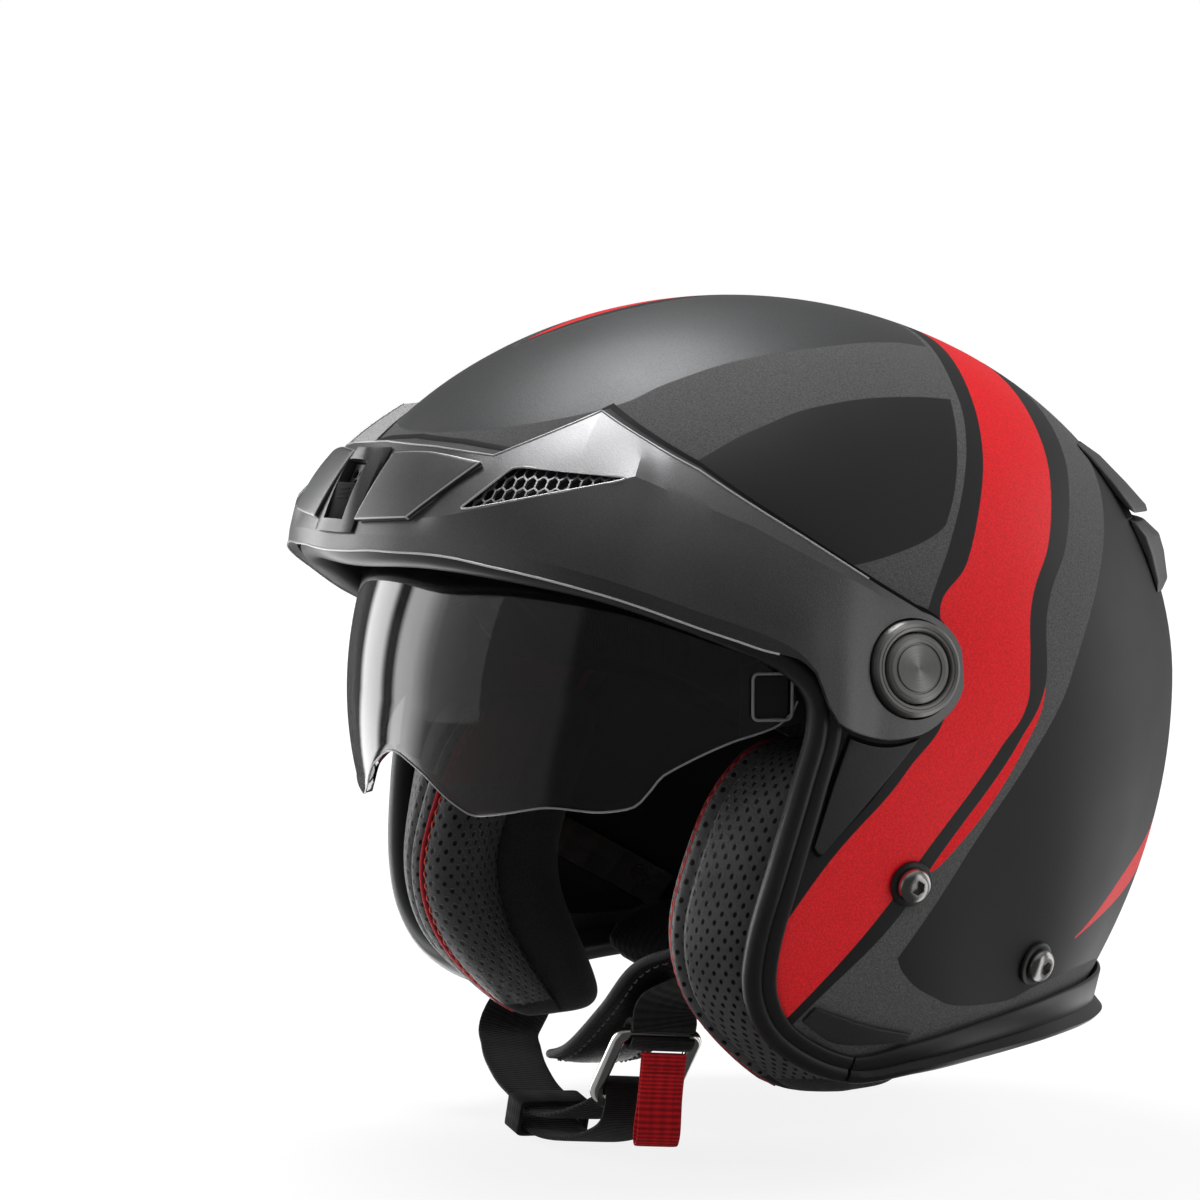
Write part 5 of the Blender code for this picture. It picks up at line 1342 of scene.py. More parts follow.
def make_front_vent():
    columns, rows = 24, 24
    sections = []
    for row in range(rows + 1):
        height = NOSE_FOOT + (NOSE_HEAD - NOSE_FOOT) * row / rows
        reach = NOSE_HALF_TURN * (1 - NOSE_TAPER * (row / rows) ** 3)
        front, back = [], []
        for i in range(columns + 1):
            turn = reach * (2 * i / columns - 1)
            crown = 1 - (turn / reach) ** 4
            seat = brow_rise(turn, height) + SEAT_GAP
            front.append(skin(turn, height, seat + (nose_rise(height) - seat) * (0.35 + 0.65 * crown)))
            back.append(skin(turn, height, seat))
        sections.append(front + back[::-1])
    housing = solid("front_vent_housing_look", loft(sections))
    cut(housing, block(bmesh.new(), nose_frame(), WINDOW_WIDTH, WINDOW_HEIGHT, 2 * NOSE_RISE))
    # Its rounded edges take a lighter paint: a painted highlight
    round_edges(housing, 0.5 * MM, 3, highlight_edges=("gunmetal", "painted_edge_highlight"))
    dress(housing, "gunmetal", "brow")

    width = WINDOW_WIDTH - 2 * RUN_GAP
    height = WINDOW_HEIGHT - 2 * RUN_GAP - SHUTTER_TRAVEL - SHUTTER_SPARE
    drop = (WINDOW_HEIGHT - height) / 2 - RUN_GAP
    shutter = block(bmesh.new(), Matrix(), width, height, SHUTTER_DEPTH)
    for vert in shutter.verts:
        if vert.co.y > 0 and vert.co.z > 0:
            vert.co.z += SHUTTER_TAB
    for k in range(SHUTTER_GRIPS):
        level = height * (0.08 + 0.13 * k)
        lift = SHUTTER_DEPTH / 2 + SHUTTER_TAB * (0.5 + level / height)
        block(shutter, Matrix.Translation((0, level, lift)), width * 0.6, SHUTTER_GRIP, SHUTTER_GRIP)
    slide = solid("front_vent_shutter_look", shutter)
    slide.matrix_world = nose_frame() @ Matrix.Translation((0, -drop, 0))
    round_edges(slide, 0.15 * MM)
    dress(slide, "vent_black", "shutter", "shutter")


# Metal pieces

def make_pivots():
    groove = DISC_RADIUS - DISC_RIM
    edge = groove - CAP_GAP
    top = DISC_HEIGHT - CAP_DROP
    ring = [(groove + reach * MM, DISC_HEIGHT - drop * MM) for reach, drop in DISC_PROFILE]
    ring += [(DISC_RADIUS, DISC_FOOT), (groove, DISC_FOOT), (groove, DISC_HEIGHT - 1.35 * MM)]
    cap = [(edge * share, top - drop * MM) for share, drop in CAP_PROFILE]
    cap += [(edge - 1.4 * MM, top), (edge - 0.5 * MM, top - 0.4 * MM), (edge, top - 1 * MM)]
    cap += [(edge, DISC_FOOT), (0, DISC_FOOT)]
    for name, side in SIDES.items():
        origin = pivot_on(side)
        axis = outward(origin)
        for part, profile in (("ring", ring), ("cap", cap)):
            disc = turned(f"pivot_{part}_{name}_look", profile, origin, axis, ring=part == "ring")
            dress(disc, "turned_metal", "turned", sharp=22)


def make_screws():
    high = WASHER_HEIGHT + SEAT_GAP
    bore = SCREW_RADIUS + SEAT_GAP
    washer = [(WASHER_RADIUS - inset * MM, high - drop * MM) for inset, drop in WASHER_PROFILE]
    washer += [(WASHER_RADIUS, 2 * SEAT_GAP), (bore, 2 * SEAT_GAP), (bore, high)]
    seat = high + SEAT_GAP
    top = seat + SCREW_HEAD_HEIGHT
    tip = -SHELL_WALL - INNER_GAP - BAR_WALL - SEAT_GAP
    screw = [(SCREW_HEAD_RADIUS * share, top - drop * MM) for share, drop in SCREW_PROFILE]
    screw += [(SCREW_HEAD_RADIUS, seat + SCREW_CHAMFER), (SCREW_HEAD_RADIUS - SCREW_CHAMFER, seat)]
    screw += [(SCREW_RADIUS, seat), (SCREW_RADIUS, tip), (0, tip)]
    for name, side in SIDES.items():
        for place, (turn, height) in SCREW_PLACES.items():
            origin = skin(side * turn, height * MM)
            axis = outward(origin)
            part = turned(f"strap_washer_{place}_{name}_look", washer, origin, axis, 48, ring=True)
            dress(part, "rubber_trim", "rubber")
            part = turned(f"strap_screw_{place}_{name}_look", screw, origin, axis, 48)
            cut(part, peg(bmesh.new(), origin, axis, SCREW_SOCKET, top - SCREW_SOCKET_DEPTH, top + 2 * MM, 6))
            dress(part, "steel_bright", "steel", sharp=28)


# Visor

def pivot_ray(side, swing):
    return Vector((math.sin(side), -math.cos(side) * math.cos(swing), math.cos(side) * math.sin(swing)))


def from_pivot(side, swing, offset):
    """Where a line from the middle of the visor's axis meets the shell grown by offset."""
    ray = pivot_ray(side, swing)
    near, far = 0.0, SHELL_FRONT + SHELL_REAR
    for _ in range(40):
        middle = (near + far) / 2
        if fullness(PIVOT + ray * middle, offset) > 1:
            far = middle
        else:
            near = middle
    return PIVOT + ray * near


def make_visor():
    down = Matrix.Translation(PIVOT) @ Matrix.Rotation(VISOR_PARK, 4, "X") @ Matrix.Translation(-PIVOT)
    park = down.inverted()

    def lens_point(u, v):
        """A point of the lens, which lies parallel to the shell when it is parked."""
        side = VISOR_END * (2 * u - 1)
        low = follow(VISOR_LOW, abs(side))
        top = follow(VISOR_TOP, abs(side))
        swing = math.radians(low + (top - low) * v) + VISOR_PARK
        return down @ from_pivot(math.radians(side), swing, VISOR_OFFSET)

    def clip_outline(side, grow, offset):
        middle = lens_point(1, 0.5).y - CLIP_FROM_END
        width = CLIP_WIDTH / 2 + grow
        height = CLIP_HEIGHT / 2 + grow
        corners = [(middle + a * width, CLIP_Z + b * height) for a, b in ((-1, -1), (1, -1), (1, 1), (-1, 1))]
        parked = [park @ Vector((0, y, z)) for y, z in rounded(corners, CLIP_ROUNDING, 5)]
        return [down @ beside(point.y, point.z, offset, side) for point in parked]

    lens = solid("sun_visor_look", face_outward(sheet(200, 24, lens_point)))
    thicken(lens, VISOR_WALL)
    for side in SIDES.values():
        walls = (VISOR_OFFSET - VISOR_WALL - 2 * MM, VISOR_OFFSET + 2 * MM)
        cut(lens, loft([clip_outline(side, SEAT_GAP, offset) for offset in walls]))
    round_edges(lens, 0.6 * MM, 3, 40)
    dress(lens, "smoked_lens", "lens", "visor", sharp=40)
    # Thin light tubes round the clips' windows and along the lens's lower edge paint highlight lines
    for name, side in SIDES.items():
        rim = tube(clip_outline(side, SEAT_GAP + CLIP_RIM, VISOR_OFFSET + 0.35 * MM), CLIP_RIM, closed=True)
        piece(f"clip_rim_{name}", rim, "lens_edge_highlight", "arm", "visor")
    rim = tube([lens_point(k / 120, 0.0) for k in range(121)], EDGE_LINE)
    piece("visor_rim", rim, "lens_edge_highlight", "lens", "visor")


# Lining

def visor_pocket():
    """The room between shell and foam where the visor parks and its arms swing."""
    depth = SHELL_WALL + VISOR_CLEARANCE + VISOR_WALL + SEAT_GAP + ARM_WALL + POCKET_CLEARANCE
    rows, columns, steps = 28, 8, 12
    swings = [POCKET_LOW + (POCKET_TOP - POCKET_LOW) * k / columns for k in range(columns + 1)]

    def floor(side, swing):
        """The nearest to the axis that the visor or its arms come on a line, as they swing down."""
        parked = [min(swing + VISOR_PARK * k / steps, POCKET_TOP) for k in range(steps + 1)]
        reach = min((from_pivot(side, angle, -depth) - PIVOT).length for angle in parked)
        return PIVOT + pivot_ray(side, swing) * reach

    sections = []
    for i in range(rows + 1):
        side = POCKET_SIDE * (2 * i / rows - 1)
        outer = [from_pivot(side, swing, 2 * MM) for swing in swings]
        sections.append(outer + [floor(side, swing) for swing in reversed(swings)])
    return loft(sections)


def make_liner():
    span = 2 * len(FOAM_EDGE) - 2
    foam = dome("foam_liner_look", FOAM_EDGE, -SHELL_WALL - INNER_GAP, FOAM_WALL, 4 * span, 30)
    cut(foam, visor_pocket())
    rooms = bmesh.new()
    for side in SIDES.values():
        arm = pivot_on(side, VISOR_OFFSET - VISOR_WALL - SEAT_GAP - ARM_WALL)
        inner = abs(arm.x) - RUN_GAP - PIN_FLANGE - POCKET_CLEARANCE
        peg(rooms, PIVOT, X_AXIS * side, POCKET_ROUND_AXIS, inner, SHELL_HALF_WIDTH + 4 * MM, 48)
    cut(foam, rooms)
    dress(foam, "bead_foam", "foam")

    offset = -SHELL_WALL - INNER_GAP - FOAM_WALL - CROWN_PAD_GAP
    crown = dome("crown_pad_look", CROWN_PAD_EDGE, offset, CROWN_PAD_WALL, 6 * span, 48)
    dress(crown, "lining_weave", "fabric")
    quilt(crown, offset - CROWN_PAD_WALL / 2)


def quilt(crown, middle):
    """Presses sewn channels into the crown pad's inner face."""
    for vert in crown.data.vertices:
        out = vert.co.normalized()
        if vert.co.length > toward(out, middle).length:
            continue
        turn = math.atan2(vert.co.x, -vert.co.y)
        down = SHELL_POLE.angle(vert.co)
        ribs = abs(math.sin(turn * 3)) * math.sin(down) * QUILT_RADIUS / 3
        near = min(abs(down - mark) for mark in QUILT_RINGS) * QUILT_RADIUS
        if down > QUILT_RINGS[0]:
            near = min(ribs, near)
        vert.co += out * QUILT_DEPTH * math.exp(-((near / QUILT_WIDTH) ** 2))


def make_neck_pad():
    offset = -SHELL_WALL - BASE_GAP - TRIM_LIP - SHELL_GAP - NECK_PAD_RADIUS
    sections = []
    for i in range(NECK_PAD_STEPS + 1):
        share = i / NECK_PAD_STEPS
        turn = NECK_PAD_FIRST + (NECK_PAD_LAST - NECK_PAD_FIRST) * share
        radius = NECK_PAD_RADIUS * math.sqrt(min(1, 0.02 + min(share, 1 - share) / 0.07))
        radius *= 1 - 0.06 * math.exp(-(((share * NECK_PAD_QUILTS) % 1 - 0.5) / 0.06) ** 2)
        ring = []
        for k in range(28):
            angle = math.tau * k / 28
            reach = radius * (1 - 0.1 * math.exp(-((math.sin(angle / 2 - 1.9)) / 0.07) ** 2))
            rise = NECK_PAD_HEIGHT + reach * math.sin(angle)
            ring.append(skin(turn, rise, offset + reach * math.cos(angle)))
        sections.append(ring)
    piece("neck_pad_look", loft(sections), "lining_weave", "fabric", sharp=70)


def cheek_rings(side):
    """The cheek pad's outline at each height, from the trim round its inner face to its back."""
    back = -SHELL_WALL - CHEEK_BACK_CLEARANCE
    front = -SHELL_WALL - BASE_GAP - TRIM_LIP - SEAT_GAP
    ahead = Vector((0, -CHEEK_ROLL, 0))
    rings = []
    for height, share in zip(CHEEK_LEVELS, CHEEK_SHARE):
        z = height * MM
        seam_y = follow(CHEEK_SEAM, height) * MM
        trim = skin(follow(CHEEK_EDGE, height) + 0.5, z, front)
        seam = Vector((CHEEK_SEAM_X, seam_y, z))
        far, rear = (beside(seam_y + behind, z, back, 1) for behind in CHEEK_BACK)
        plan = [trim, trim.lerp(seam, 0.3) + ahead * 0.8, trim.lerp(seam, 0.7) + ahead]
        for inset, behind in CHEEK_PLAN:
            plan.append(Vector((CHEEK_SEAM_X + inset * MM, seam_y + behind * MM, z)))
        plan += [far, rear, trim.lerp(rear, 0.45)]
        middle = sum(plan, Vector()) / len(plan)
        ring = [middle.lerp(point, share) for point in plan]
        rings.append([Vector((side * point.x, point.y, point.z)) for point in ring])
    return rings


def cage_point(rings, level, place):
    """A point of the smooth pad that a cage of rings gives."""

    def weights(t):
        middle = (3 * t**3 - 6 * t**2 + 4, -3 * t**3 + 3 * t**2 + 3 * t + 1)
        return [weight / 6 for weight in ((1 - t) ** 3, *middle, t**3)]

    row, column = math.floor(level), math.floor(place)
    found = Vector()
    for a, high in enumerate(weights(level - row)):
        ring = rings[min(max(row + a - 1, 0), len(rings) - 1)]
        for b, wide in enumerate(weights(place - column)):
            found += ring[(column + b - 1) % len(ring)] * high * wide
    return found


def pad_relief(place):
    """How far a cheek pad's cover stands out, or is drawn in by a seam, round its section."""
    relief = 0.0
    for first, last, rise in PAD_LOBES:
        if first < place < last:
            relief += rise * math.sin(math.pi * (place - first) / (last - first))
    for seam, depth, width in PAD_SEAMS:
        relief -= depth * math.exp(-(((place - seam) / width) ** 2))
    return relief * MM


def finish_pad(mesh, rings):
    """Swells a pad between its seams, gives its faces their materials and sets its grid out in metres."""
    sections, places = len(rings) - 1, len(rings[0])
    layer = mesh.uv_layers[0].data
    spots = {}
    for loop in mesh.loops:
        spots.setdefault(loop.vertex_index, layer[loop.index].uv.copy())
    normals = [vert.normal.copy() for vert in mesh.vertices]
    for vert, normal in zip(mesh.vertices, normals):
        spot = spots[vert.index]
        level = spot.x * sections
        full = min(1, max(0, min(level, sections - level) - 0.15))
        vert.co += normal * pad_relief(spot.y * places) * full
    for material in ("punched_leather", "suede", "red_suede"):
        mesh.materials.append(MATERIALS[material])
    for face in mesh.polygons:
        corners = [layer[index].uv for index in face.loop_indices]
        level = sum(corner.x for corner in corners) / len(corners) * sections
        place = sum(corner.y for corner in corners) / len(corners) * places
        if RED_PATCH[0] < place < RED_PATCH[1] and level < RED_PATCH[2]:
            face.material_index = 2
        elif place > PAD_FABRIC_FROM or face.center.z < PAD_FABRIC_UNDER:
            face.material_index = 1
    widest = rings[PAD_WIDEST]
    runs = run_lengths(widest + widest[:1])
    for corner in layer:
        place = min(corner.uv.y, 0.9999) * places
        step = int(place)
        along = runs[step] + (runs[step + 1] - runs[step]) * (place - step)
        corner.uv = (corner.uv.x * PAD_HEIGHT, along)
    mesh.update()


def make_cheek_pads():
    for name, side in SIDES.items():
        rings = cheek_rings(side)
        pad = solid(f"cheek_pad_{name}_look", loft(rings))
        modify(pad, "SUBSURF", levels=4, render_levels=4)
        settle(pad)
        finish_pad(pad.data, rings)
        tree = BVHTree.FromObject(pad, bpy.context.evaluated_depsgraph_get())

        def seam_path(place, count=90):
            first, last = PAD_SEAM_ENDS
            guesses = [cage_point(rings, first + (last - first) * k / count, place) for k in range(count + 1)]
            return [tree.find_nearest(guess)[:2] for guess in guesses]

        piping = [spot + normal * PIPING_RISE for spot, normal in seam_path(PIPING_PLACE)]
        row = stitch_row(seam_path(STITCH_PLACE), *CHEEK_STITCH)
        if name == "left":
            route, across = left_strap()
            last = len(LEFT_PLACES) + len(LEFT_ROUTE) + 1
            cut(pad, ribbon(route[:last], STRAP_WIDTH + 3 * MM, STRAP_WALL + 4 * MM, across[:last], 4))
        dress(pad, "punched_leather", "leather", sharp=SOFT_ANGLE)
        piece(f"cheek_piping_{name}", tube(piping, PIPING_RADIUS), "red_piping", "leather", sharp=SOFT_ANGLE)
        piece(f"cheek_stitches_{name}", row, "red_thread", "leather", sharp=SOFT_ANGLE)


# Chin strap

def strap_section(here, wide, flat, width, wall):
    """A strap's section with rounded edges."""
    half, thick = wide * (width / 2), flat * (wall / 2)
    return [here + half * swollen(a, 0.3) + thick * swollen(b, 0.5) for a, b in circle(16, 0.5)]


def ribbon(route, width, wall, across, steps):
    """A flat strap along a smooth route; across is the direction of its width at every point of the route."""
    positions = [i / steps for i in range((len(route) - 1) * steps + 1)]
    sections = []
    for position in positions:
        ahead = heading(route, position)
        wide = square_to(spline(across, position), ahead)
        sections.append(strap_section(spline(route, position), wide, ahead.cross(wide), width, wall))
    length = run_lengths([spline(route, position) for position in positions])[-1]
    return scaled_uv(loft(sections), length, 2 * width)


def points_of(route):
    return [Vector(point) * MM for point in route]


def with_widths(route, side, held):
    """A strap's route and the direction of its width at each point: along the shell where it is held there."""
    lean = math.radians(STRAP_TURN)
    along_shell = Vector((-side * math.cos(lean), -math.sin(lean), 0))
    return route, [along_shell] * held + [RING_ACROSS] * (len(route) - held)


def left_strap():
    """From the anchor bar through the cheek pad to the loop round the D-ring's straight bar."""
    route = [skin(turn, height * MM, STRAP_OFFSET - inset * MM) for turn, height, inset in LEFT_PLACES]
    route += points_of(LEFT_ROUTE)
    route.append(RING_BAR - RING_FALL * 14 * MM - RING_OUT * 1.5 * MM)
    for angle in range(200, -130, -40):
        turn = math.radians(angle)
        route.append(RING_BAR + (RING_FALL * math.cos(turn) - RING_OUT * math.sin(turn)) * LOOP_RADIUS)
    return with_widths(route, 1, 3)


def right_strap():
    """From the anchor bar under the cheek pad, round the D-ring's far end and back as a loose tail."""
    end = RING_BAR + RING_FALL * RING_REACH
    route = [skin(-STRAP_TURN, height * MM, STRAP_OFFSET) for height in RIGHT_HEIGHTS]
    route += points_of(RIGHT_ROUTE)
    route += [end + (RING_FALL * down + RING_OUT * rise) * MM for down, rise in RING_TURN]
    route += points_of(TAIL_ROUTE)
    return with_widths(route, -1, len(RIGHT_HEIGHTS))


def make_straps():
    for name, (route, across) in (("left", left_strap()), ("right", right_strap())):
        strap = ribbon(route, STRAP_WIDTH, STRAP_WALL, across, 8)
        piece(f"chin_strap_{name}_look", strap, "webbing_weave", "webbing", sharp=SOFT_ANGLE)


def make_cover():
    """The padded strap cover: a leather pad with one round end, a bound edge and stitches inside it."""
    route = points_of(COVER_ROUTE)
    count = 96
    positions = [(len(route) - 1) * k / count for k in range(count + 1)]
    runs = run_lengths([spline(route, position) for position in positions])
    radius = COVER_WIDTH / 2 - COVER_BINDING
    sections, edges = [], []
    for position, run in zip(positions, runs):
        here = spline(route, position)
        ahead = heading(route, position)
        wide = square_to(RING_ACROSS, ahead)
        flat = ahead.cross(wide)
        left_over = runs[-1] - COVER_BINDING - run
        if left_over < 0:
            break
        half = radius
        if left_over < radius:
            half = math.sqrt(max(radius**2 - (radius - left_over) ** 2, 0.0))
        thick = (COVER_WALL / 2 - 0.3 * MM) * min(1, half / radius + 0.3)
        sections.append([here + wide * half * a + flat * (swollen(b, 0.8) * thick) for a, b in circle(24)])
        edges.append((here, wide * half, flat))
    pad = scaled_uv(loft(sections), runs[-1], 2 * COVER_WIDTH)
    piece("strap_cover_look", pad, "cover_leather", "leather", sharp=SOFT_ANGLE)
    around = edges + [(here, -half, flat) for here, half, flat in reversed(edges)]
    border = tube([here + half for here, half, _ in around], COVER_BINDING, 10)
    piece("strap_cover_binding", border, "bound_edge", "leather", sharp=SOFT_ANGLE)
    for index, sign in enumerate((1, -1)):
        path = []
        for here, half, flat in around:
            inset = max(half.length - COVER_STITCH_INSET, 0)
            path.append((here + half.normalized() * inset + flat * sign * COVER_STITCH_RISE, flat * sign))
        row = stitch_row(path, *COVER_STITCH)
        piece(f"strap_cover_stitches_{index}", row, "grey_thread", "leather", sharp=SOFT_ANGLE)


def make_keeper():
    """A loop of webbing that holds the strap's loose tail to the strap."""
    route, _ = right_strap()
    first_tail = len(route) - len(TAIL_ROUTE)
    tail = [spline(route, first_tail + k / 20) for k in range(20 * len(TAIL_ROUTE) - 20)]
    place = len(RIGHT_HEIGHTS) + KEEPER_POSITION
    over = spline(route, place)
    under = min(tail, key=lambda point: (point - over).length)
    middle = (over + under) / 2
    along = heading(route, place)
    wide = square_to(RING_ACROSS, along)
    flat = along.cross(wide)
    half_wide = STRAP_WIDTH / 2 + abs((over - under).dot(wide)) / 2 + KEEPER_GAP
    half_flat = abs((over - under).dot(flat)) / 2 + STRAP_WALL / 2 + KEEPER_GAP
    corners = [(half_wide * a, half_flat * b) for a, b in ((1, 1), (-1, 1), (-1, -1), (1, -1))]
    end = along * KEEPER_WIDTH / 2
    sections = []
    for x, y in rounded(corners, KEEPER_ROUNDING, 5):
        inner = middle + wide * x + flat * y
        outer = middle + wide * x * (1 + KEEPER_WALL / half_wide) + flat * y * (1 + KEEPER_WALL / half_flat)
        sections.append([inner + end, outer + end, outer - end, inner - end])
    keeper = solid("strap_keeper_look", scaled_uv(loft(sections, closed_path=True), 60 * MM, 20 * MM))
    round_edges(keeper, 0.3 * MM, 2, 40)
    dress(keeper, "webbing_weave", "webbing", sharp=SOFT_ANGLE)


def make_ring():
    points = []
    for x, y, first in ((1, 1, 0), (-1, 1, 90), (-1, 0, 180), (1, 0, 270)):
        corner = RING_CORNER if y else RING_CORNER * 0.45
        for step in range(13):
            angle = math.radians(first + 7.5 * step)
            wide = x * (RING_HALF_WIDTH - corner) + corner * math.cos(angle)
            down = (RING_REACH - corner if y else corner) + corner * math.sin(angle)
            points.append(RING_BAR + RING_ACROSS * wide + RING_FALL * down)
    ring = tube(points, RING_WIRE, 24, closed=True, hint=RING_OUT)
    piece("d_ring_look", ring, "ring_chrome", "chrome", sharp=SOFT_ANGLE)


def make_pull_tab():
    """A red ribbon folded to a loop, with two rows of stitches across its top."""
    top = RING_BAR + RING_OUT * (LOOP_RADIUS + STRAP_WALL / 2 + SEAT_GAP + TAB_FOLD)
    hang = square_to(Vector((0, 0, -1)), RING_ACROSS)
    flat = RING_ACROSS.cross(hang)
    inset = TAB_WALL / 2
    front = [
        (0.4 * MM, TAB_FOLD - inset), (TAB_LENGTH * 0.25, TAB_FOLD * 0.8 - inset * 0.9),
        (TAB_LENGTH * 0.5, TAB_FOLD * 0.8 - inset), (TAB_LENGTH * 0.85, TAB_FOLD * 1.5 - inset),
    ]
    loop = front + [(TAB_LENGTH - inset, 0)] + [(down, -rise) for down, rise in reversed(front)]
    route = [top + hang * down + flat * rise for down, rise in loop]
    tab = ribbon(route, TAB_WIDTH, TAB_WALL, [RING_ACROSS] * len(route), 10)
    piece("pull_tab_look", tab, "ribbon_weave", "red", "tab", sharp=SOFT_ANGLE)
    for index, down in enumerate(TAB_SEAMS):
        start = top + hang * down + flat * (TAB_FOLD * 0.93)
        path = [(start + RING_ACROSS * TAB_WIDTH * (k / 11 - 0.5) * 0.86, flat) for k in range(12)]
        row = stitch_row(path, *TAB_STITCH)
        piece(f"pull_tab_stitches_{index}", row, "red_piping", "red", "tab", sharp=SOFT_ANGLE)


# Rear outlet, and CAD pieces that show as they are

def make_rear_outlet():
    def across_back(profile, steps, margin=0.0, taper=None):
        """A body across the back from (height, stand-off) points; a taper draws its ends in to the shell."""
        first, last = OUTLET_FIRST - margin, OUTLET_LAST + margin
        sections = []
        for i in range(steps + 1):
            turn = first + (last - first) * i / steps
            share = 0.5 + 0.5 * min(1, min(turn - first, last - turn) / taper) if taper else 1
            rises = [(height * MM, SEAT_GAP + (rise * MM - SEAT_GAP) * share) for height, rise in profile]
            sections.append([skin(turn, height, rise) for height, rise in rises])
        return loft(sections)

    for name, tier in (("upper", UPPER_TIER), ("lower", LOWER_TIER)):
        outlet = solid(f"rear_outlet_{name}_look", across_back(tier, OUTLET_STEPS, taper=OUTLET_TAPER))
        round_edges(outlet, 0.5 * MM, 3, 25)
        dress(outlet, "gunmetal", "brow", sharp=30)
    # A near-black strip between the tiers paints the shade in the outlet's slot
    piece("rear_outlet_gap", across_back(OUTLET_GAP, 80, 0.6), "gap_shade", "rubber")


def keep_nodes():
    kept = {
        "grille": ["front_vent_mesh"],
        "satin_black": ["visor_arm_left", "visor_arm_right"],
        "steel_bright": ["pivot_pin_left", "pivot_pin_right", "strap_anchor_left", "strap_anchor_right"],
        "nylon": ["pivot_bush_left", "pivot_bush_right"],
    }
    for material, nodes in kept.items():
        for node in nodes:
            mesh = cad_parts[node].data
            mesh.materials.clear()
            mesh.materials.append(MATERIALS[material])


# Stage

def make_floor():
    """A pale floor that fades to white away from the helmet."""
    floor = bpy.data.meshes.new("floor")
    corners = [(x * FLOOR_REACH, y * FLOOR_REACH, 0) for x, y in ((-1, -1), (1, -1), (1, 1), (-1, 1))]
    floor.from_pydata(corners, [], [(0, 1, 2, 3)])
    plane = new_object("floor", floor)
    plane.location.z = CAD_BOX[0][2] - 0.5 * MM
    nodes = new_material("pale_floor", (0.8, 0.8, 0.8), 0.9, Specular_IOR_Level=0.1)
    reach = nodes.add("VectorMath", nodes.place(), operation="LENGTH").outputs["Value"]
    share = nodes.times(nodes.eye_rays(), nodes.span(reach, *FLOOR_FADE))
    glow = nodes.add("Emission", Strength=FLOOR_GLOW)
    nodes.end(nodes.add("MixShader", share, nodes.shader.outputs[0], glow.outputs[0]))
    floor.materials.append(MATERIALS["pale_floor"])


def make_world():
    """A white background that lights the helmet only a little."""
    world = bpy.data.worlds.new("studio")
    bpy.context.scene.world = world
    nodes = Nodes(world)
    dim = nodes.tree.nodes["Background"]
    white = nodes.add("Background")
    for background, strength in ((dim, AMBIENT), (white, 1.0)):
        nodes.set(background, Color=(1, 1, 1, 1), Strength=strength)
    nodes.end(nodes.add("MixShader", nodes.eye_rays(), dim.outputs[0], white.outputs[0]))


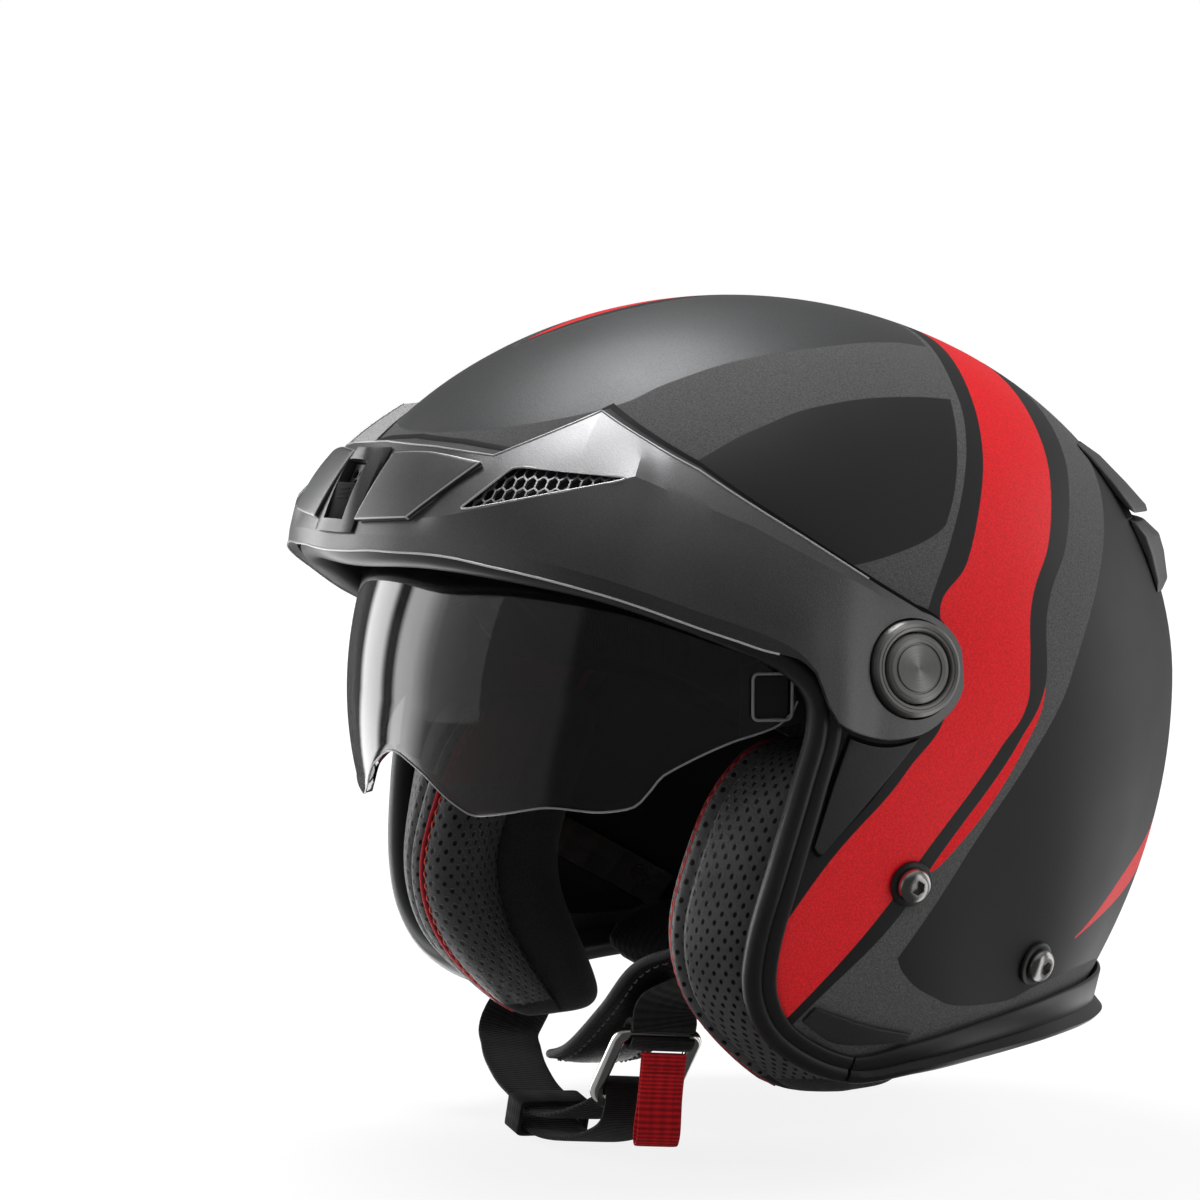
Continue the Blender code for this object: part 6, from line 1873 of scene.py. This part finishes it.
def make_tent():
    """A dark tent with bright strips, seen by reflections alone, for gloss and glass to show."""
    columns, rows = 72, 18
    rings = []
    for row in range(rows + 1):
        lift = math.radians(TENT_LOW + (TENT_HIGH - TENT_LOW) * row / rows)
        level, high = TENT_REACH * math.cos(lift), TENT_REACH * math.sin(lift)
        rings.append([Vector((a * level, b * level, high)) for a, b in circle(columns)])
    tent = solid("tent", loft(rings))
    nodes = new_material("tent_cloth", (0, 0, 0), 1.0)
    x, y, z = nodes.axes()
    turn = nodes.maths("ARCTAN2", x, nodes.times(y, -1.0))
    ramp = nodes.add("ValToRGB", nodes.span(turn, -math.pi, math.pi))
    stops = ramp.color_ramp.elements
    while len(stops) < len(TENT_STRIPS):
        stops.new(0.5)
    for stop, (place, share) in zip(stops, TENT_STRIPS):
        stop.position = (place + 180) / 360
        stop.color = (share, share, share, 1)

    def by_lift(lifts, low, high):
        return nodes.span(z, *(TENT_REACH * math.sin(math.radians(lift)) for lift in lifts), low, high)

    strips = nodes.times(ramp.outputs[0], by_lift(TENT_BAND, TENT_GLOW, 0.0))
    roof = by_lift(TENT_ROOF, TENT_DARK, TENT_ROOF_GLOW)
    nodes.end(nodes.add("Emission", Strength=nodes.plus(roof, strips)))
    tent.data.materials.append(MATERIALS["tent_cloth"])
    for rays in ("camera", "shadow", "diffuse", "transmission"):
        setattr(tent, "visible_" + rays, False)


def camera_axes():
    turn, lift = math.radians(CAMERA_TURN), math.radians(CAMERA_LIFT)
    back = Vector((math.sin(turn) * math.cos(lift), -math.cos(turn) * math.cos(lift), math.sin(lift)))
    right = Vector((math.cos(turn), math.sin(turn), 0))
    return right, back.cross(right), back


def make_camera():
    right, up, back = camera_axes()
    data = bpy.data.cameras.new("camera")
    data.sensor_width = CAMERA_SENSOR
    data.lens = CAMERA_FOCAL * CAMERA_SENSOR / PICTURE
    data.shift_x = (PICTURE / 2 - CAMERA_CENTRE[0]) / PICTURE
    data.shift_y = (CAMERA_CENTRE[1] - PICTURE / 2) / PICTURE
    camera = new_object("camera", data)
    turn = Matrix((right, up, back)).transposed().to_4x4()
    camera.matrix_world = Matrix.Translation(back * CAMERA_REACH) @ turn
    bpy.context.scene.camera = camera


def make_lights():
    """Area lamps placed in the camera's own directions, facing the helmet."""
    right, _, back = camera_axes()
    for name, (aside, up, behind, width, height, power) in LAMPS.items():
        data = bpy.data.lights.new(name, "AREA")
        data.energy = power
        data.shape = "RECTANGLE"
        data.size = width
        data.size_y = height
        lamp = new_object(name, data)
        lamp.location = right * aside + Vector((0, 0, 1)) * up + back * behind
        lamp.rotation_euler = (-lamp.location).to_track_quat("-Z", "Y").to_euler()
        lamp.visible_glossy = name == "key"


bpy.context.scene.view_settings.view_transform = "Standard"
RING_ACROSS = square_to(RING_ACROSS_HINT, RING_FALL)
RING_OUT = RING_ACROSS.cross(RING_FALL)
make_camera()
make_materials()
make_shell()
make_brow()
make_panels()
make_front_vent()
make_pivots()
make_screws()
make_visor()
make_liner()
make_neck_pad()
make_cheek_pads()
make_straps()
make_cover()
make_keeper()
make_ring()
make_pull_tab()
make_rear_outlet()
keep_nodes()
make_floor()
make_world()
make_tent()
make_lights()
